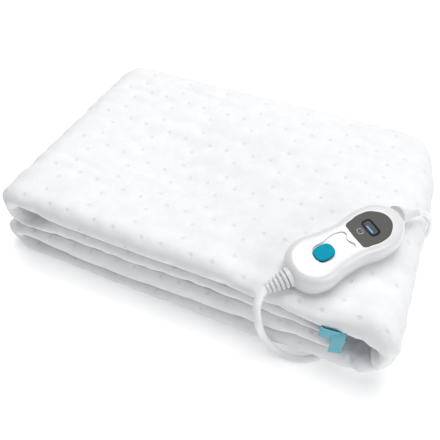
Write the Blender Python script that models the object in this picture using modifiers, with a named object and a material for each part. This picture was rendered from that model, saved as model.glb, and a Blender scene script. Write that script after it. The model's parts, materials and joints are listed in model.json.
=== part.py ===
"""Electric under-blanket, folded into a stack, with its hand control and its two leads.

Metres, +Z up.  The origin is under the middle of the folded stack, on the surface that it
rests on.  +X runs along the front from left to right and +Y goes from the front to the back.

The cloth is one sheet.  It is first folded in three across its width, which gives a strip
of three plies with a round fold all along its front.  The strip is then folded into four
layers: both ends are turned in, and the whole is folded once more round the right side.
"""

import math
from collections import namedtuple

import bmesh
import bpy
from mathutils import Matrix, Vector

# ---------------------------------------------------------------- driving dimensions

STACK_WIDTH = 0.410
STACK_DEPTH = 0.258
STACK_HEIGHT = 0.096
CLOTH = 0.0030
CLEARANCE = 0.0003

FRONT = -STACK_DEPTH / 2
BACK = STACK_DEPTH / 2

# The grooves between the four layers, along the front: how high each groove lies and how
# wide it stands open.  Groove 1 is under the top layer and groove 3 is above the bottom one.
Station = namedtuple("Station", "x groove_1 gap_1 groove_2 gap_2 groove_3 gap_3")
STATIONS = (
    Station(-0.176, 0.0635, 0.0200, 0.0435, 0.0010, 0.0205, 0.0110),
    Station(-0.158, 0.0655, 0.0110, 0.0445, 0.0010, 0.0190, 0.0070),
    Station(-0.140, 0.0665, 0.0022, 0.0455, 0.0010, 0.0180, 0.0020),
    Station(-0.100, 0.0665, 0.0010, 0.0465, 0.0010, 0.0175, 0.0010),
    Station(-0.050, 0.0670, 0.0010, 0.0470, 0.0010, 0.0180, 0.0010),
    Station(0.000, 0.0690, 0.0010, 0.0505, 0.0010, 0.0215, 0.0010),
    Station(0.050, 0.0700, 0.0010, 0.0510, 0.0010, 0.0245, 0.0010),
    Station(0.090, 0.0700, 0.0010, 0.0520, 0.0010, 0.0260, 0.0010),
    Station(0.120, 0.0655, 0.0010, 0.0505, 0.0010, 0.0265, 0.0010),
    Station(0.145, 0.0605, 0.0010, 0.0465, 0.0010, 0.0265, 0.0010),
    Station(0.163, 0.0600, 0.0010, 0.0445, 0.0010, 0.0260, 0.0010),
)

# One row for each layer: what lies over and under it, how deep its round front fold is,
# and how far that fold stands back from the front of the stack.
Layer = namedtuple("Layer", "over under nose setback")
LAYERS = {
    1: Layer("top", "groove_1", 0.0110, -0.0030),
    2: Layer("groove_1", "groove_2", 0.0070, -0.0010),
    3: Layer("groove_2", "groove_3", 0.0075, -0.0025),
    4: Layer("groove_3", "floor", 0.0070, -0.0030),
}

# The three turns of the strip: where each starts, how far its outer and its inner ply reach
# past that place, and its number of sections.
Turn = namedtuple("Turn", "x side outer inner sections")
UPPER_LEFT_TURN = Turn(-0.176, -1, 0.0310, 0.0160, 7)
LOWER_LEFT_TURN = Turn(-0.176, -1, 0.0430, 0.0240, 7)
RIGHT_TURN = Turn(0.163, 1, 0.0405, 0.0270, 13)

# The pleats where the round front fold is squeezed in the right turn: the place round the
# turn, how far the inner ply is pulled back there, and how far the fold is drawn in.
Pleat = namedtuple("Pleat", "degrees pull draw")
PLEATS = (
    Pleat(0, 0.000, 0.000),
    Pleat(45, 0.000, 0.000),
    Pleat(75, 0.000, 0.000),
    Pleat(105, 0.005, 0.001),
    Pleat(130, -0.001, 0.003),
    Pleat(150, 0.004, 0.000),
    Pleat(165, 0.000, 0.002),
    Pleat(180, 0.000, 0.000),
)

# Where the sections of a straight run stand along X, and where the two tucked ends stop.
RUN_SECTIONS = (-0.158, -0.140, -0.110, -0.075, -0.040, -0.005, 0.030, 0.065, 0.092, 0.112, 0.130, 0.147)
UPPER_END = 0.156
LOWER_END = 0.153

# Across the strip: the ply inside is half way between the two others.
FREE_EDGE_INSET = 0.009
INNER_EDGE_INSET = 0.012
BACK_FOLD = 0.0060
FREE_PLY_ROWS = (0.0, 0.12, 0.27, 0.50, 0.80)
OUTER_PLY_ROWS = (0.05, 0.105, 0.165, 0.23, 0.30, 0.39, 0.54, 0.72, 0.87)
INNER_PLY_ROWS = (0.14, 0.32, 0.62, 1.0)
FRONT_FOLD_SECTIONS = 7
BACK_FOLD_SECTIONS = 4

# Corners of the stack in plan.
CornerRound = namedtuple("CornerRound", "side_x side_y radius_x radius_y")
CORNERS = (
    CornerRound(-1, -1, 0.010, 0.010),
    CornerRound(1, -1, 0.014, 0.014),
    CornerRound(-1, 1, 0.026, 0.026),
    CornerRound(1, 1, 0.038, 0.060),
)

# The stack rides up over the cord that runs in under its front.
LIFT_HEIGHT = 0.0092
LIFT_CENTRE = (0.150, -0.108)
LIFT_LEVEL = (0.020, 0.030)
LIFT_SLOPE = 0.042
LIFT_POWER = 1.5

# The stack sags between its stiff folds, most a little left of and before its middle.
SAG_DEPTH = 0.0165
SAG_CENTRE = (-0.045, -0.020)
SAG_REACH_X = (0.165, 0.200)
SAG_REACH_Y = (0.125, 0.120)

# The hand control sinks into the top of the stack, most at its front end and near side.
PRESS_REACH = (-0.052, 0.037)
PRESS_HALF_WIDTH = 0.031
PRESS_SLOPE = 0.042
PRESS_POWER = 4.0

# ---------------------------------------------------------------- hand control

# The middle of its underside, where its axis points, and how far it leans: its back end and
# its far side stand higher, as it lies on the soft front edge.
HANDSET_SEAT = Vector((0.1342, -0.0647, 0.0908))
HANDSET_TURN = math.radians(53.2)
HANDSET_PITCH = math.radians(4.0)
HANDSET_ROLL = math.radians(7.5)
HANDSET_FRAME = (
    Matrix.Translation(HANDSET_SEAT)
    @ Matrix.Rotation(HANDSET_TURN, 4, "Z")
    @ Matrix.Rotation(-HANDSET_PITCH, 4, "Y")
    @ Matrix.Rotation(HANDSET_ROLL, 4, "X")
)
HANDSET_HEIGHT = 0.0220
HANDSET_EDGE = 0.0060
HANDSET_WALL = 0.0020
HANDSET_TOP_WALL = 0.0046
HOLLOW_EDGE = 0.0040
PARTING_BLOCK = (0.2, 0.1)
CUT_PAST = 0.0100
PARTING_HEIGHT = 0.0070

# Half outlines, as distance along the hand control's axis and half width there.
Outline = namedtuple("Outline", "along half")
HANDSET_OUTLINE = (
    Outline(-0.0600, 0.0),
    Outline(-0.0540, 0.0168),
    Outline(-0.0385, 0.0245),
    Outline(-0.0150, 0.0222),
    Outline(0.0020, 0.0213),
    Outline(0.0290, 0.0243),
    Outline(0.0480, 0.0193),
    Outline(0.0600, 0.0),
)
PANEL_OUTLINE = (
    Outline(0.0056, 0.0),
    Outline(0.0060, 0.0118),
    Outline(0.0150, 0.0148),
    Outline(0.0250, 0.0158),
    Outline(0.0370, 0.0124),
    Outline(0.0450, 0.0),
)
TRACK_OUTLINE = (
    Outline(-0.0378, 0.0),
    Outline(-0.0345, 0.0095),
    Outline(-0.0200, 0.0128),
    Outline(-0.0040, 0.0142),
    Outline(0.0018, 0.0105),
    Outline(0.0028, 0.0),
)
PANEL_THICKNESS = 0.0016
PANEL_STANDS = 0.0003
TRACK_DEPTH = 0.0014
CUT_ABOVE = 0.0020

WINDOW_CENTRE = 0.0242
WINDOW_SIZE = (0.0105, 0.0174)
WINDOW_CORNER = 0.0034
WINDOW_THICKNESS = 0.0008
WINDOW_STANDS = 0.0002

BUTTON_CENTRE = -0.0262
BUTTON_SIZE = (0.0195, 0.0146)
BUTTON_THICKNESS = 0.0032
BUTTON_ROUND = 0.0010
BUTTON_TRAVEL = 0.0140
STEM_SIZE = (0.0070, 0.0044)
STEM_LENGTH = 0.0040
STEM_CORNER = 0.0010

# ---------------------------------------------------------------- leads and plug

LEAD_DIAMETER = 0.0070
MAINS_DIAMETER = 0.0046

# Strain reliefs: where each leaves the hand control, where it ends, and its two radii.
Relief = namedtuple("Relief", "root tip root_radius tip_radius")
FRONT_RELIEF = Relief(
    Vector((0.1006, -0.1119, 0.0962)), Vector((0.0876, -0.1255, 0.0910)), 0.0088, 0.0046
)
BACK_RELIEF = Relief(
    Vector((0.1705, -0.0165, 0.1055)), Vector((0.1851, 0.0005, 0.0985)), 0.0080, 0.0031
)
RELIEF_RINGS = 4
RELIEF_FACETS = 20
RING_WAIST = 0.88
FLARE_SECTIONS = 7
FLARE_POWER = 2.2
FOOT_LENGTH = 0.0050
FOOT_SHARE = 0.62

# A lead goes straight on out of its relief over this length, and has a point every so many
# diameters.
STRAIGHT = 0.0046
POINT_SPACING = 2.0
LEAD_BEVELS = 3
CURVE_STEPS = 24

BLANKET_LEAD_ROUTE = (
    (0.0819, -0.1358, 0.0865),
    (0.0826, -0.1440, 0.0798),
    (0.0861, -0.1484, 0.0685),
    (0.0874, -0.1463, 0.0565),
    (0.0873, -0.1423, 0.0459),
    (0.0872, -0.1393, 0.0378),
    (0.0886, -0.1372, 0.0283),
    (0.0928, -0.1371, 0.0192),
    (0.1000, -0.1371, 0.0112),
    (0.1089, -0.1369, 0.0052),
    (0.1180, -0.1367, 0.0038),
    (0.1284, -0.1341, 0.0038),
    (0.1377, -0.1287, 0.0038),
    (0.1451, -0.1210, 0.0038),
    (0.1502, -0.1116, 0.0038),
    (0.1524, -0.1011, 0.0038),
)
ENTRY_SIZE = (0.0160, 0.0130, 0.0076)
ENTRY_BASE = 0.0002
ENTRY_ROUND = 0.0012

MAINS_ROUTE = (
    (0.1942, 0.0122, 0.0908),
    (0.2004, 0.0203, 0.0805),
    (0.2060, 0.0282, 0.0640),
    (0.2085, 0.0345, 0.0430),
    (0.2090, 0.0430, 0.0230),
    (0.2088, 0.0560, 0.0085),
    (0.2082, 0.0750, 0.0030),
    (0.2080, 0.1000, 0.0026),
    (0.2050, 0.1280, 0.0026),
    (0.1980, 0.1520, 0.0026),
    (0.1870, 0.1700, 0.0032),
    (0.1745, 0.1796, 0.0072),
    (0.1610, 0.1829, 0.0107),
)

# The rest of the mains lead is wound up behind the stack, with the plug beside it.
COIL_CENTRE = Vector((0.1120, 0.1830, 0.0117))
COIL_RADIUS = 0.0265
COIL_SECTION = 0.0091
COIL_FACETS = 28
COIL_SECTION_FACETS = 12
LEAD_MEETS_COIL = 0.0
TAIL_MEETS_COIL = math.pi
TIE_WIDTH = 0.0090
TIE_WALL = 0.0012
TIE_ROOM = 0.0011
TIE_TURN = math.radians(80)
TIE_FACETS = 24
TAIL_ROUTE = (
    (0.0620, 0.1830, 0.0076),
    (0.0690, 0.1830, 0.0098),
)
PLUG_THICKNESS = 0.0137
PLUG_EDGE = 0.0016
PLUG_OUTLINE = (
    Outline(0.0, 0.0066),
    Outline(0.0120, 0.0090),
    Outline(0.0200, 0.0176),
    Outline(0.0360, 0.0176),
)
PLUG_FRAME = Matrix.Translation((0.0340, 0.1830, 0.00695)) @ Matrix.Rotation(math.pi, 4, "Z")
PLUG_RELIEF = Relief(
    PLUG_FRAME @ Vector((-CLEARANCE, 0.0, 0.0)),
    PLUG_FRAME @ Vector((-0.0213, 0.0, 0.0)),
    0.0052,
    0.0031,
)
PIN_SPACING = 0.0190
PIN_DIAMETER = 0.0040
PIN_LENGTH = 0.0190
PIN_TIP_ROUND = 0.0008

# The ribbon that is sewn to the end of the second layer: its front, seen from the front,
# and the strand that leads back to the seam.
RibbonCorner = namedtuple("RibbonCorner", "x z")
RIBBON_FRONT = (
    RibbonCorner(0.1380, 0.0702),
    RibbonCorner(0.1366, 0.0672),
    RibbonCorner(0.1364, 0.0618),
    RibbonCorner(0.1378, 0.0572),
    RibbonCorner(0.1416, 0.0562),
    RibbonCorner(0.1463, 0.0585),
    RibbonCorner(0.1471, 0.0492),
    RibbonCorner(0.1486, 0.0368),
    RibbonCorner(0.1540, 0.0390),
    RibbonCorner(0.1591, 0.0432),
    RibbonCorner(0.1581, 0.0612),
    RibbonCorner(0.1570, 0.0700),
    RibbonCorner(0.1533, 0.0720),
    RibbonCorner(0.1474, 0.0720),
)
RIBBON = 0.0010
RIBBON_GAP = 0.0034
STRAND_X = (0.1567, 0.1602)
STRAND_Z = (0.0440, 0.0580)
STRAND_BACK = 0.0090

# ---------------------------------------------------------------- helpers


def clear_scene():
    for thing in list(bpy.data.objects):
        bpy.data.objects.remove(thing, do_unlink=True)


def collection(name):
    made = bpy.data.collections.new(name)
    bpy.context.scene.collection.children.link(made)
    return made


def material(name, colour, roughness, metallic=0.0):
    made = bpy.data.materials.new(name)
    made.use_nodes = True
    shader = made.node_tree.nodes["Principled BSDF"]
    shader.inputs["Base Color"].default_value = (*colour, 1.0)
    shader.inputs["Roughness"].default_value = roughness
    shader.inputs["Metallic"].default_value = metallic
    return made


def place(thing, home, finish=None):
    """Keep an object in one collection and give it its material."""
    for owner in list(thing.users_collection):
        owner.objects.unlink(thing)
    home.objects.link(thing)
    if finish is not None:
        thing.data.materials.clear()
        thing.data.materials.append(finish)
    return thing


def smooth(thing, degrees=35):
    thing.data.shade_smooth()
    thing.data.set_sharp_from_angle(angle=math.radians(degrees))
    return thing


def meshed(thing, transform=None):
    """Turn a curve, or an object with modifiers, into one welded mesh in world space."""
    graph = bpy.context.evaluated_depsgraph_get()
    mesh = bpy.data.meshes.new_from_object(thing.evaluated_get(graph))
    mesh.transform(thing.matrix_world if transform is None else transform)
    work = bmesh.new()
    work.from_mesh(mesh)
    bmesh.ops.remove_doubles(work, verts=work.verts, dist=0.000001)
    bmesh.ops.recalc_face_normals(work, faces=work.faces)
    work.to_mesh(mesh)
    work.free()
    name = thing.name
    home = thing.users_collection[0]
    bpy.data.objects.remove(thing, do_unlink=True)
    made = bpy.data.objects.new(name, mesh)
    home.objects.link(made)
    return made


def cut(thing, cutter, operation="DIFFERENCE"):
    step = thing.modifiers.new(cutter.name, "BOOLEAN")
    step.object = cutter
    step.operation = operation
    step.solver = "EXACT"
    cutter.hide_render = True
    cutter.display_type = "WIRE"
    place(cutter, cutters)


def between(table, column, here):
    """A column as a smooth curve over the table's first one, level past its two ends."""
    places = [row[0] for row in table]
    values = [getattr(row, column) for row in table]
    if here <= places[0]:
        return values[0]
    if here >= places[-1]:
        return values[-1]
    at = max(i for i, spot in enumerate(places) if spot <= here)
    span = places[at + 1] - places[at]
    t = (here - places[at]) / span

    def slope(i):
        if i in (0, len(places) - 1):
            return 0.0
        return (values[i + 1] - values[i - 1]) / (places[i + 1] - places[i - 1])

    rise = values[at + 1] - values[at]
    a = slope(at) * span
    b = slope(at + 1) * span
    return values[at] + a * t + (3 * rise - 2 * a - b) * t ** 2 + (a + b - 2 * rise) * t ** 3


def ease(t):
    t = min(max(t, 0.0), 1.0)
    return t * t * (3 - 2 * t)


# ---------------------------------------------------------------- the folded cloth


def level_of(edge, x, side):
    """Height of the face of a layer at one of its edges; side is +1 over it, -1 under it."""
    if edge == "top":
        return STACK_HEIGHT
    if edge == "floor":
        return 0.0
    gap = between(STATIONS, edge.replace("groove", "gap"), x)
    return between(STATIONS, edge, x) - side * gap / 2


def ply_height(layer, x, ply):
    """Mid height of a ply in a layer: ply 0 is the strip's outer side and ply 1 its inner."""
    row = LAYERS[layer]
    over = level_of(row.over, x, 1) - CLOTH / 2
    under = level_of(row.under, x, -1) + CLOTH / 2
    outer, inner = (over, under) if layer in (1, 3) else (under, over)
    return outer + (inner - outer) * ply


def run_section(layer, x):
    row = LAYERS[layer]
    nose, setback = row.nose, row.setback

    def at(ply):
        return x, ply_height(layer, x, ply)

    return at, nose, setback


def turn_section(turn, first, last, share):
    """A section of a turn from one layer to another; share runs from 0 to 1 round it."""
    angle = math.pi * share
    nose = LAYERS[first].nose + (LAYERS[last].nose - LAYERS[first].nose) * share
    setback = LAYERS[first].setback + (LAYERS[last].setback - LAYERS[first].setback) * share
    pull, draw = (0.0, 0.0)
    if turn is RIGHT_TURN:
        pull = between(PLEATS, "pull", math.degrees(angle))
        draw = between(PLEATS, "draw", math.degrees(angle))

    def at(ply):
        start = ply_height(first, turn.x, ply)
        stop = ply_height(last, turn.x, ply)
        middle = (start + stop) / 2
        reach = turn.outer + (turn.inner - turn.outer) * ply - pull * ply
        x = turn.x + turn.side * reach * math.sin(angle)
        return x, middle + (start - stop) / 2 * math.cos(angle)

    return at, nose, setback + draw


def strip_sections():
    """The strip's sections in order: layer 2 from its end, then 1, 4 and 3 to its end."""
    made = []
    rising = list(RUN_SECTIONS)
    falling = rising[::-1]
    made += [run_section(2, x) for x in [UPPER_END] + falling]
    count = UPPER_LEFT_TURN.sections
    made += [turn_section(UPPER_LEFT_TURN, 2, 1, i / (count + 1)) for i in range(count + 2)]
    made += [run_section(1, x) for x in rising]
    count = RIGHT_TURN.sections
    made += [turn_section(RIGHT_TURN, 1, 4, i / (count + 1)) for i in range(count + 2)]
    made += [run_section(4, x) for x in falling]
    count = LOWER_LEFT_TURN.sections
    made += [turn_section(LOWER_LEFT_TURN, 4, 3, i / (count + 1)) for i in range(count + 2)]
    made += [run_section(3, x) for x in rising + [LOWER_END]]
    return made


def strip_profile(nose, setback):
    """The three plies across the strip, as (y, ply): back edge, front fold, back fold, in."""
    front = FRONT + setback + CLOTH / 2
    back = BACK - CLOTH / 2
    first = front + nose
    made = []
    for share in FREE_PLY_ROWS:
        made.append((back - FREE_EDGE_INSET + (first - back + FREE_EDGE_INSET) * share, 1.0))
    for i in range(FRONT_FOLD_SECTIONS + 1):
        angle = math.pi * i / FRONT_FOLD_SECTIONS
        made.append((front + nose * (1 - math.sin(angle)), (1 + math.cos(angle)) / 2))
    for share in OUTER_PLY_ROWS:
        made.append((first + (back - BACK_FOLD - first) * share, 0.0))
    for i in range(BACK_FOLD_SECTIONS + 1):
        angle = math.pi * i / BACK_FOLD_SECTIONS
        made.append((back - BACK_FOLD * (1 - math.sin(angle)), (1 - math.cos(angle)) / 4))
    for share in INNER_PLY_ROWS:
        stop = first + INNER_EDGE_INSET
        made.append((back - BACK_FOLD + (stop - back + BACK_FOLD) * share, 0.5))
    return made


def round_corner(x, y):
    """Draw the stack's square corners in to round ones, as a square is drawn to a disc."""
    for corner in CORNERS:
        far_x = STACK_WIDTH / 2 - corner.radius_x
        far_y = STACK_DEPTH / 2 - corner.radius_y
        u = (x * corner.side_x - far_x) / corner.radius_x
        v = (y * corner.side_y - far_y) / corner.radius_y
        if u > 0 and v > 0:
            shrink_x = math.sqrt(1 - min(v, 1) ** 2 / 2)
            shrink_y = math.sqrt(1 - min(u, 1) ** 2 / 2)
            x = corner.side_x * (far_x + corner.radius_x * u * shrink_x)
            y = corner.side_y * (far_y + corner.radius_y * v * shrink_y)
    return x, y


def sag(x, y):
    """How far the top of the stack lies under its edges."""
    off_x = x - SAG_CENTRE[0]
    off_y = y - SAG_CENTRE[1]
    share_x = 1 - ease(abs(off_x) / SAG_REACH_X[off_x > 0])
    share_y = 1 - ease(abs(off_y) / SAG_REACH_Y[off_y > 0])
    return SAG_DEPTH * share_x * share_y


def lift(x, y, z):
    """Raise the lower layers over the cord that lies under the front."""
    off_x = max(abs(x - LIFT_CENTRE[0]) - LIFT_LEVEL[0], 0.0)
    off_y = max(abs(y - LIFT_CENTRE[1]) - LIFT_LEVEL[1], 0.0)
    share = 1 - ease(math.hypot(off_x, off_y) / LIFT_SLOPE)
    height = min(max(z / STACK_HEIGHT, 0.0), 1.0)
    return z + LIFT_HEIGHT * share * (1 - height) ** LIFT_POWER


def press(x, y, z):
    """Lower the upper layers under the hand control, to the slope of its underside."""
    along = HANDSET_FRAME.col[0].xy.normalized()
    up = HANDSET_FRAME.col[2].xyz
    offset = Vector((x, y)) - HANDSET_SEAT.xy
    underside = HANDSET_SEAT.z - up.xy.dot(offset) / up.z - CLEARANCE
    run = min(max(offset.dot(along), PRESS_REACH[0]), PRESS_REACH[1])
    away = max((offset - along * run).length - PRESS_HALF_WIDTH, 0.0)
    top = STACK_HEIGHT - sag(x, y)
    depth = max(top - underside, 0.0) * (1 - ease(away / PRESS_SLOPE))
    height = min(max(z / (top - CLOTH), 0.0), 1.0)
    return z - depth * height ** PRESS_POWER


def make_blanket(home, finish):
    sections = strip_sections()
    across = len(strip_profile(0.01, 0.0))
    bpy.ops.mesh.primitive_grid_add(
        x_subdivisions=len(sections) - 1, y_subdivisions=across - 1, size=2.0
    )
    blanket = bpy.context.object
    blanket.name = "blanket"
    for vertex in blanket.data.vertices:
        section = round((vertex.co.x + 1) / 2 * (len(sections) - 1))
        row = round((vertex.co.y + 1) / 2 * (across - 1))
        at, nose, setback = sections[section]
        y, ply = strip_profile(nose, setback)[row]
        x, z = at(ply)
        x, y = round_corner(x, y)
        z -= sag(x, y) * (z - CLOTH / 2) / (STACK_HEIGHT - CLOTH / 2)
        vertex.co = (x, y, press(x, y, lift(x, y, z)))
    wall = blanket.modifiers.new("thickness", "SOLIDIFY")
    wall.thickness = CLOTH
    wall.offset = 0.0
    wall.use_even_offset = True
    place(blanket, home, finish)
    smooth(blanket, 60)
    return blanket


# ---------------------------------------------------------------- the hand control


def handset_place(along, across, height):
    """A place in the hand control's own frame, in world space."""
    return HANDSET_FRAME @ Matrix.Translation((along, across, height))


def outline_prism(name, rows, low, high, grow=0.0, edge=0.0):
    """A flat outline, the same on both sides of its axis, raised between two heights."""
    curve = bpy.data.curves.new(name, "CURVE")
    curve.dimensions = "2D"
    curve.fill_mode = "BOTH"
    curve.extrude = (high - low) / 2 - edge
    curve.bevel_depth = edge
    curve.bevel_resolution = 2
    curve.offset = grow - edge
    curve.resolution_u = 5
    points = [(row.along, row.half) for row in rows]
    points += [(row.along, -row.half) for row in rows[-2:0:-1]]
    spline = curve.splines.new("BEZIER")
    spline.bezier_points.add(len(points) - 1)
    spline.use_cyclic_u = True
    for knot, (along, across) in zip(spline.bezier_points, points):
        knot.co = (along, across, 0.0)
        knot.handle_left_type = "AUTO"
        knot.handle_right_type = "AUTO"
    thing = bpy.data.objects.new(name, curve)
    bpy.context.scene.collection.objects.link(thing)
    thing.matrix_world = handset_place(0.0, 0.0, (low + high) / 2)
    bpy.context.view_layer.update()
    return meshed(thing)


def handset_block(name, low, high):
    """A block all over the hand control between two heights, to part the shells with."""
    bpy.ops.mesh.primitive_cube_add(size=1.0)
    block = bpy.context.object
    block.name = name
    block.data.transform(Matrix.Diagonal((*PARTING_BLOCK, high - low, 1.0)))
    block.matrix_world = handset_place(0.0, 0.0, (low + high) / 2)
    bpy.context.view_layer.update()
    return meshed(block)


def oval(name, centre, size, low, high, edge=0.0, facets=32):
    """An oval disc on the hand control's axis."""
    bpy.ops.mesh.primitive_cylinder_add(vertices=facets, radius=0.5, depth=1.0)
    disc = bpy.context.object
    disc.name = name
    disc.data.transform(Matrix.Diagonal((size[0], size[1], high - low, 1.0)))
    if edge:
        rim = disc.modifiers.new("edge", "BEVEL")
        rim.width = edge
        rim.segments = 3
        rim.limit_method = "ANGLE"
    disc.matrix_world = handset_place(centre, 0.0, (low + high) / 2)
    bpy.context.view_layer.update()
    return disc


def clipped_block(name, centre, size, corner, low, high, grow=0.0):
    """A rectangle with clipped corners on the hand control's axis."""
    bpy.ops.mesh.primitive_cube_add(size=1.0)
    block = bpy.context.object
    block.name = name
    block.data.transform(
        Matrix.Diagonal((size[0] + 2 * grow, size[1] + 2 * grow, high - low, 1.0))
    )
    work = bmesh.new()
    work.from_mesh(block.data)
    upright = [e for e in work.edges if abs(e.verts[0].co.z - e.verts[1].co.z) > 0.00001]
    bmesh.ops.bevel(work, geom=upright, offset=corner, segments=2, profile=0.5, affect="EDGES")
    work.to_mesh(block.data)
    work.free()
    block.matrix_world = handset_place(centre, 0.0, (low + high) / 2)
    bpy.context.view_layer.update()
    return block


def aim(thing, root, tip):
    """Stand a piece that was turned about its own Z on root, pointing at tip."""
    way = (tip - root).normalized()
    thing.matrix_world = Matrix.Translation(root) @ way.to_track_quat("Z", "Y").to_matrix().to_4x4()
    bpy.context.view_layer.update()


def turned(name, profile, facets):
    """A turned piece from its outer profile, given as (radius, height) from the top down."""
    mesh = bpy.data.meshes.new(name)
    work = bmesh.new()
    knots = [work.verts.new((radius, 0.0, height)) for radius, height in profile]
    for first, second in zip(knots, knots[1:]):
        work.edges.new((first, second))
    work.to_mesh(mesh)
    work.free()
    thing = bpy.data.objects.new(name, mesh)
    bpy.context.scene.collection.objects.link(thing)
    screw = thing.modifiers.new("turning", "SCREW")
    screw.steps = facets
    screw.render_steps = facets
    screw.use_merge_vertices = True
    screw.merge_threshold = 0.000001
    return thing


def foot_profile(radius):
    """The part of a relief inside the housing, from its shoulder down to its end."""
    foot = radius * FOOT_SHARE
    return [(radius, 0.0), (foot, 0.0), (foot, -FOOT_LENGTH), (0.0, -FOOT_LENGTH)]


def ringed_profile(relief, length):
    """A tapered sleeve with rings, from its thin end down to its foot."""
    made = [(0.0, length), (relief.tip_radius, length)]
    for i in range(RELIEF_RINGS):
        share = (i + 0.5) / RELIEF_RINGS
        radius = relief.tip_radius + (relief.root_radius - relief.tip_radius) * share
        height = length * (1 - share)
        half = length / RELIEF_RINGS / 4
        waist = radius * RING_WAIST
        made += [(radius, height + half), (waist, height + half * 0.7)]
        made += [(waist, height - half * 0.7), (radius, height - half)]
    return made + foot_profile(relief.root_radius)


def flared_profile(relief, length):
    """A smooth sleeve from its thin end down, which flares towards its root."""
    made = [(0.0, length), (relief.tip_radius, length)]
    for i in range(1, FLARE_SECTIONS):
        share = i / FLARE_SECTIONS
        flare = (relief.root_radius - relief.tip_radius) * share ** FLARE_POWER
        made.append((relief.tip_radius + flare, length * (1 - share)))
    return made


def trumpet_profile(relief, length):
    """The flared sleeve with a foot in the housing."""
    return flared_profile(relief, length) + foot_profile(relief.root_radius)


def sleeve_profile(relief, length):
    """The flared sleeve with a flat end, which butts on the plug."""
    return flared_profile(relief, length) + [(relief.root_radius, 0.0), (0.0, 0.0)]


def socket_profile(relief, length):
    """The room that the housing leaves round a relief and its foot."""
    wide = relief.root_radius + CLEARANCE
    foot = relief.root_radius * FOOT_SHARE + CLEARANCE
    end = -FOOT_LENGTH - CLEARANCE
    return [
        (0.0, length),
        (wide, length),
        (wide, -CLEARANCE),
        (foot, -CLEARANCE),
        (foot, end),
        (0.0, end),
    ]


def make_relief(name, relief, profile, home, finish):
    """A relief, with its socket cut into both shells."""
    length = (relief.tip - relief.root).length
    sleeve = turned(name, profile(relief, length), RELIEF_FACETS)
    aim(sleeve, relief.root, relief.tip)
    place(sleeve, home, finish)
    socket = turned(name + "_socket", socket_profile(relief, length), RELIEF_FACETS)
    aim(socket, relief.root, relief.tip)
    for shell in (upper, lower):
        cut(shell, socket)


# ---------------------------------------------------------------- ribbon and plug


def ribbon_plate(name, front):
    """The front of the ribbon: a flat outline that stands up before the folds."""
    curve = bpy.data.curves.new(name, "CURVE")
    curve.dimensions = "2D"
    curve.fill_mode = "BOTH"
    curve.extrude = RIBBON / 2
    spline = curve.splines.new("POLY")
    spline.points.add(len(RIBBON_FRONT) - 1)
    spline.use_cyclic_u = True
    for knot, corner in zip(spline.points, RIBBON_FRONT):
        knot.co = (corner.x, corner.z, 0.0, 1.0)
    thing = bpy.data.objects.new(name, curve)
    bpy.context.scene.collection.objects.link(thing)
    thing.location.y = front + RIBBON / 2
    thing.rotation_euler.x = math.pi / 2
    bpy.context.view_layer.update()
    return meshed(thing)


def ribbon_strand(name, front):
    bpy.ops.mesh.primitive_cube_add(size=1.0)
    strand = bpy.context.object
    strand.name = name
    low = Vector((STRAND_X[0], front + RIBBON / 2, STRAND_Z[0]))
    high = Vector((STRAND_X[1], front + STRAND_BACK, STRAND_Z[1]))
    strand.data.transform(Matrix.Diagonal((*(high - low), 1.0)))
    strand.data.transform(Matrix.Translation((low + high) / 2))
    return strand


def plug_body(name):
    curve = bpy.data.curves.new(name, "CURVE")
    curve.dimensions = "2D"
    curve.fill_mode = "BOTH"
    curve.extrude = PLUG_THICKNESS / 2 - PLUG_EDGE
    curve.bevel_depth = PLUG_EDGE
    curve.bevel_resolution = 1
    curve.offset = -PLUG_EDGE
    points = [(row.along, row.half) for row in PLUG_OUTLINE]
    points += [(row.along, -row.half) for row in PLUG_OUTLINE[::-1]]
    spline = curve.splines.new("POLY")
    spline.points.add(len(points) - 1)
    spline.use_cyclic_u = True
    for knot, (along, across) in zip(spline.points, points):
        knot.co = (along, across, 0.0, 1.0)
    thing = bpy.data.objects.new(name, curve)
    bpy.context.scene.collection.objects.link(thing)
    thing.matrix_world = PLUG_FRAME
    bpy.context.view_layer.update()
    return meshed(thing)


def plug_pin(name, side):
    bpy.ops.mesh.primitive_cylinder_add(vertices=16, radius=PIN_DIAMETER / 2, depth=PIN_LENGTH)
    pin = bpy.context.object
    pin.name = name
    tip = pin.modifiers.new("rounded_tip", "BEVEL")
    tip.width = PIN_TIP_ROUND
    tip.segments = 2
    tip.limit_method = "ANGLE"
    middle = PLUG_OUTLINE[-1].along + CLEARANCE + PIN_LENGTH / 2
    pin.matrix_world = (
        PLUG_FRAME
        @ Matrix.Translation((middle, side * PIN_SPACING / 2, 0.0))
        @ Matrix.Rotation(math.pi / 2, 4, "Y")
    )
    return pin


# ---------------------------------------------------------------- cords


def through(points, spacing):
    """Points a fixed way apart on one smooth curve through a route's points."""
    knots = [Vector(p) for p in points]
    knots = [knots[0] * 2 - knots[1]] + knots + [knots[-1] * 2 - knots[-2]]
    fine = []
    for p, q, r, s in zip(knots, knots[1:], knots[2:], knots[3:]):
        for step in range(CURVE_STEPS):
            t = step / CURVE_STEPS
            bend = (2 * p - 5 * q + 4 * r - s) * t ** 2 + (3 * q - p - 3 * r + s) * t ** 3
            fine.append((2 * q + (r - p) * t + bend) / 2)
    fine.append(knots[-2])
    length = sum((b - a).length for a, b in zip(fine, fine[1:]))
    count = max(round(length / spacing), 2)
    made = [fine[0]]
    run = 0.0
    goal = length / count
    for a, b in zip(fine, fine[1:]):
        step = (b - a).length
        while run + step >= goal * len(made) and len(made) < count:
            made.append(a.lerp(b, (goal * len(made) - run) / step))
        run += step
    return made + [fine[-1]]


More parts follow.
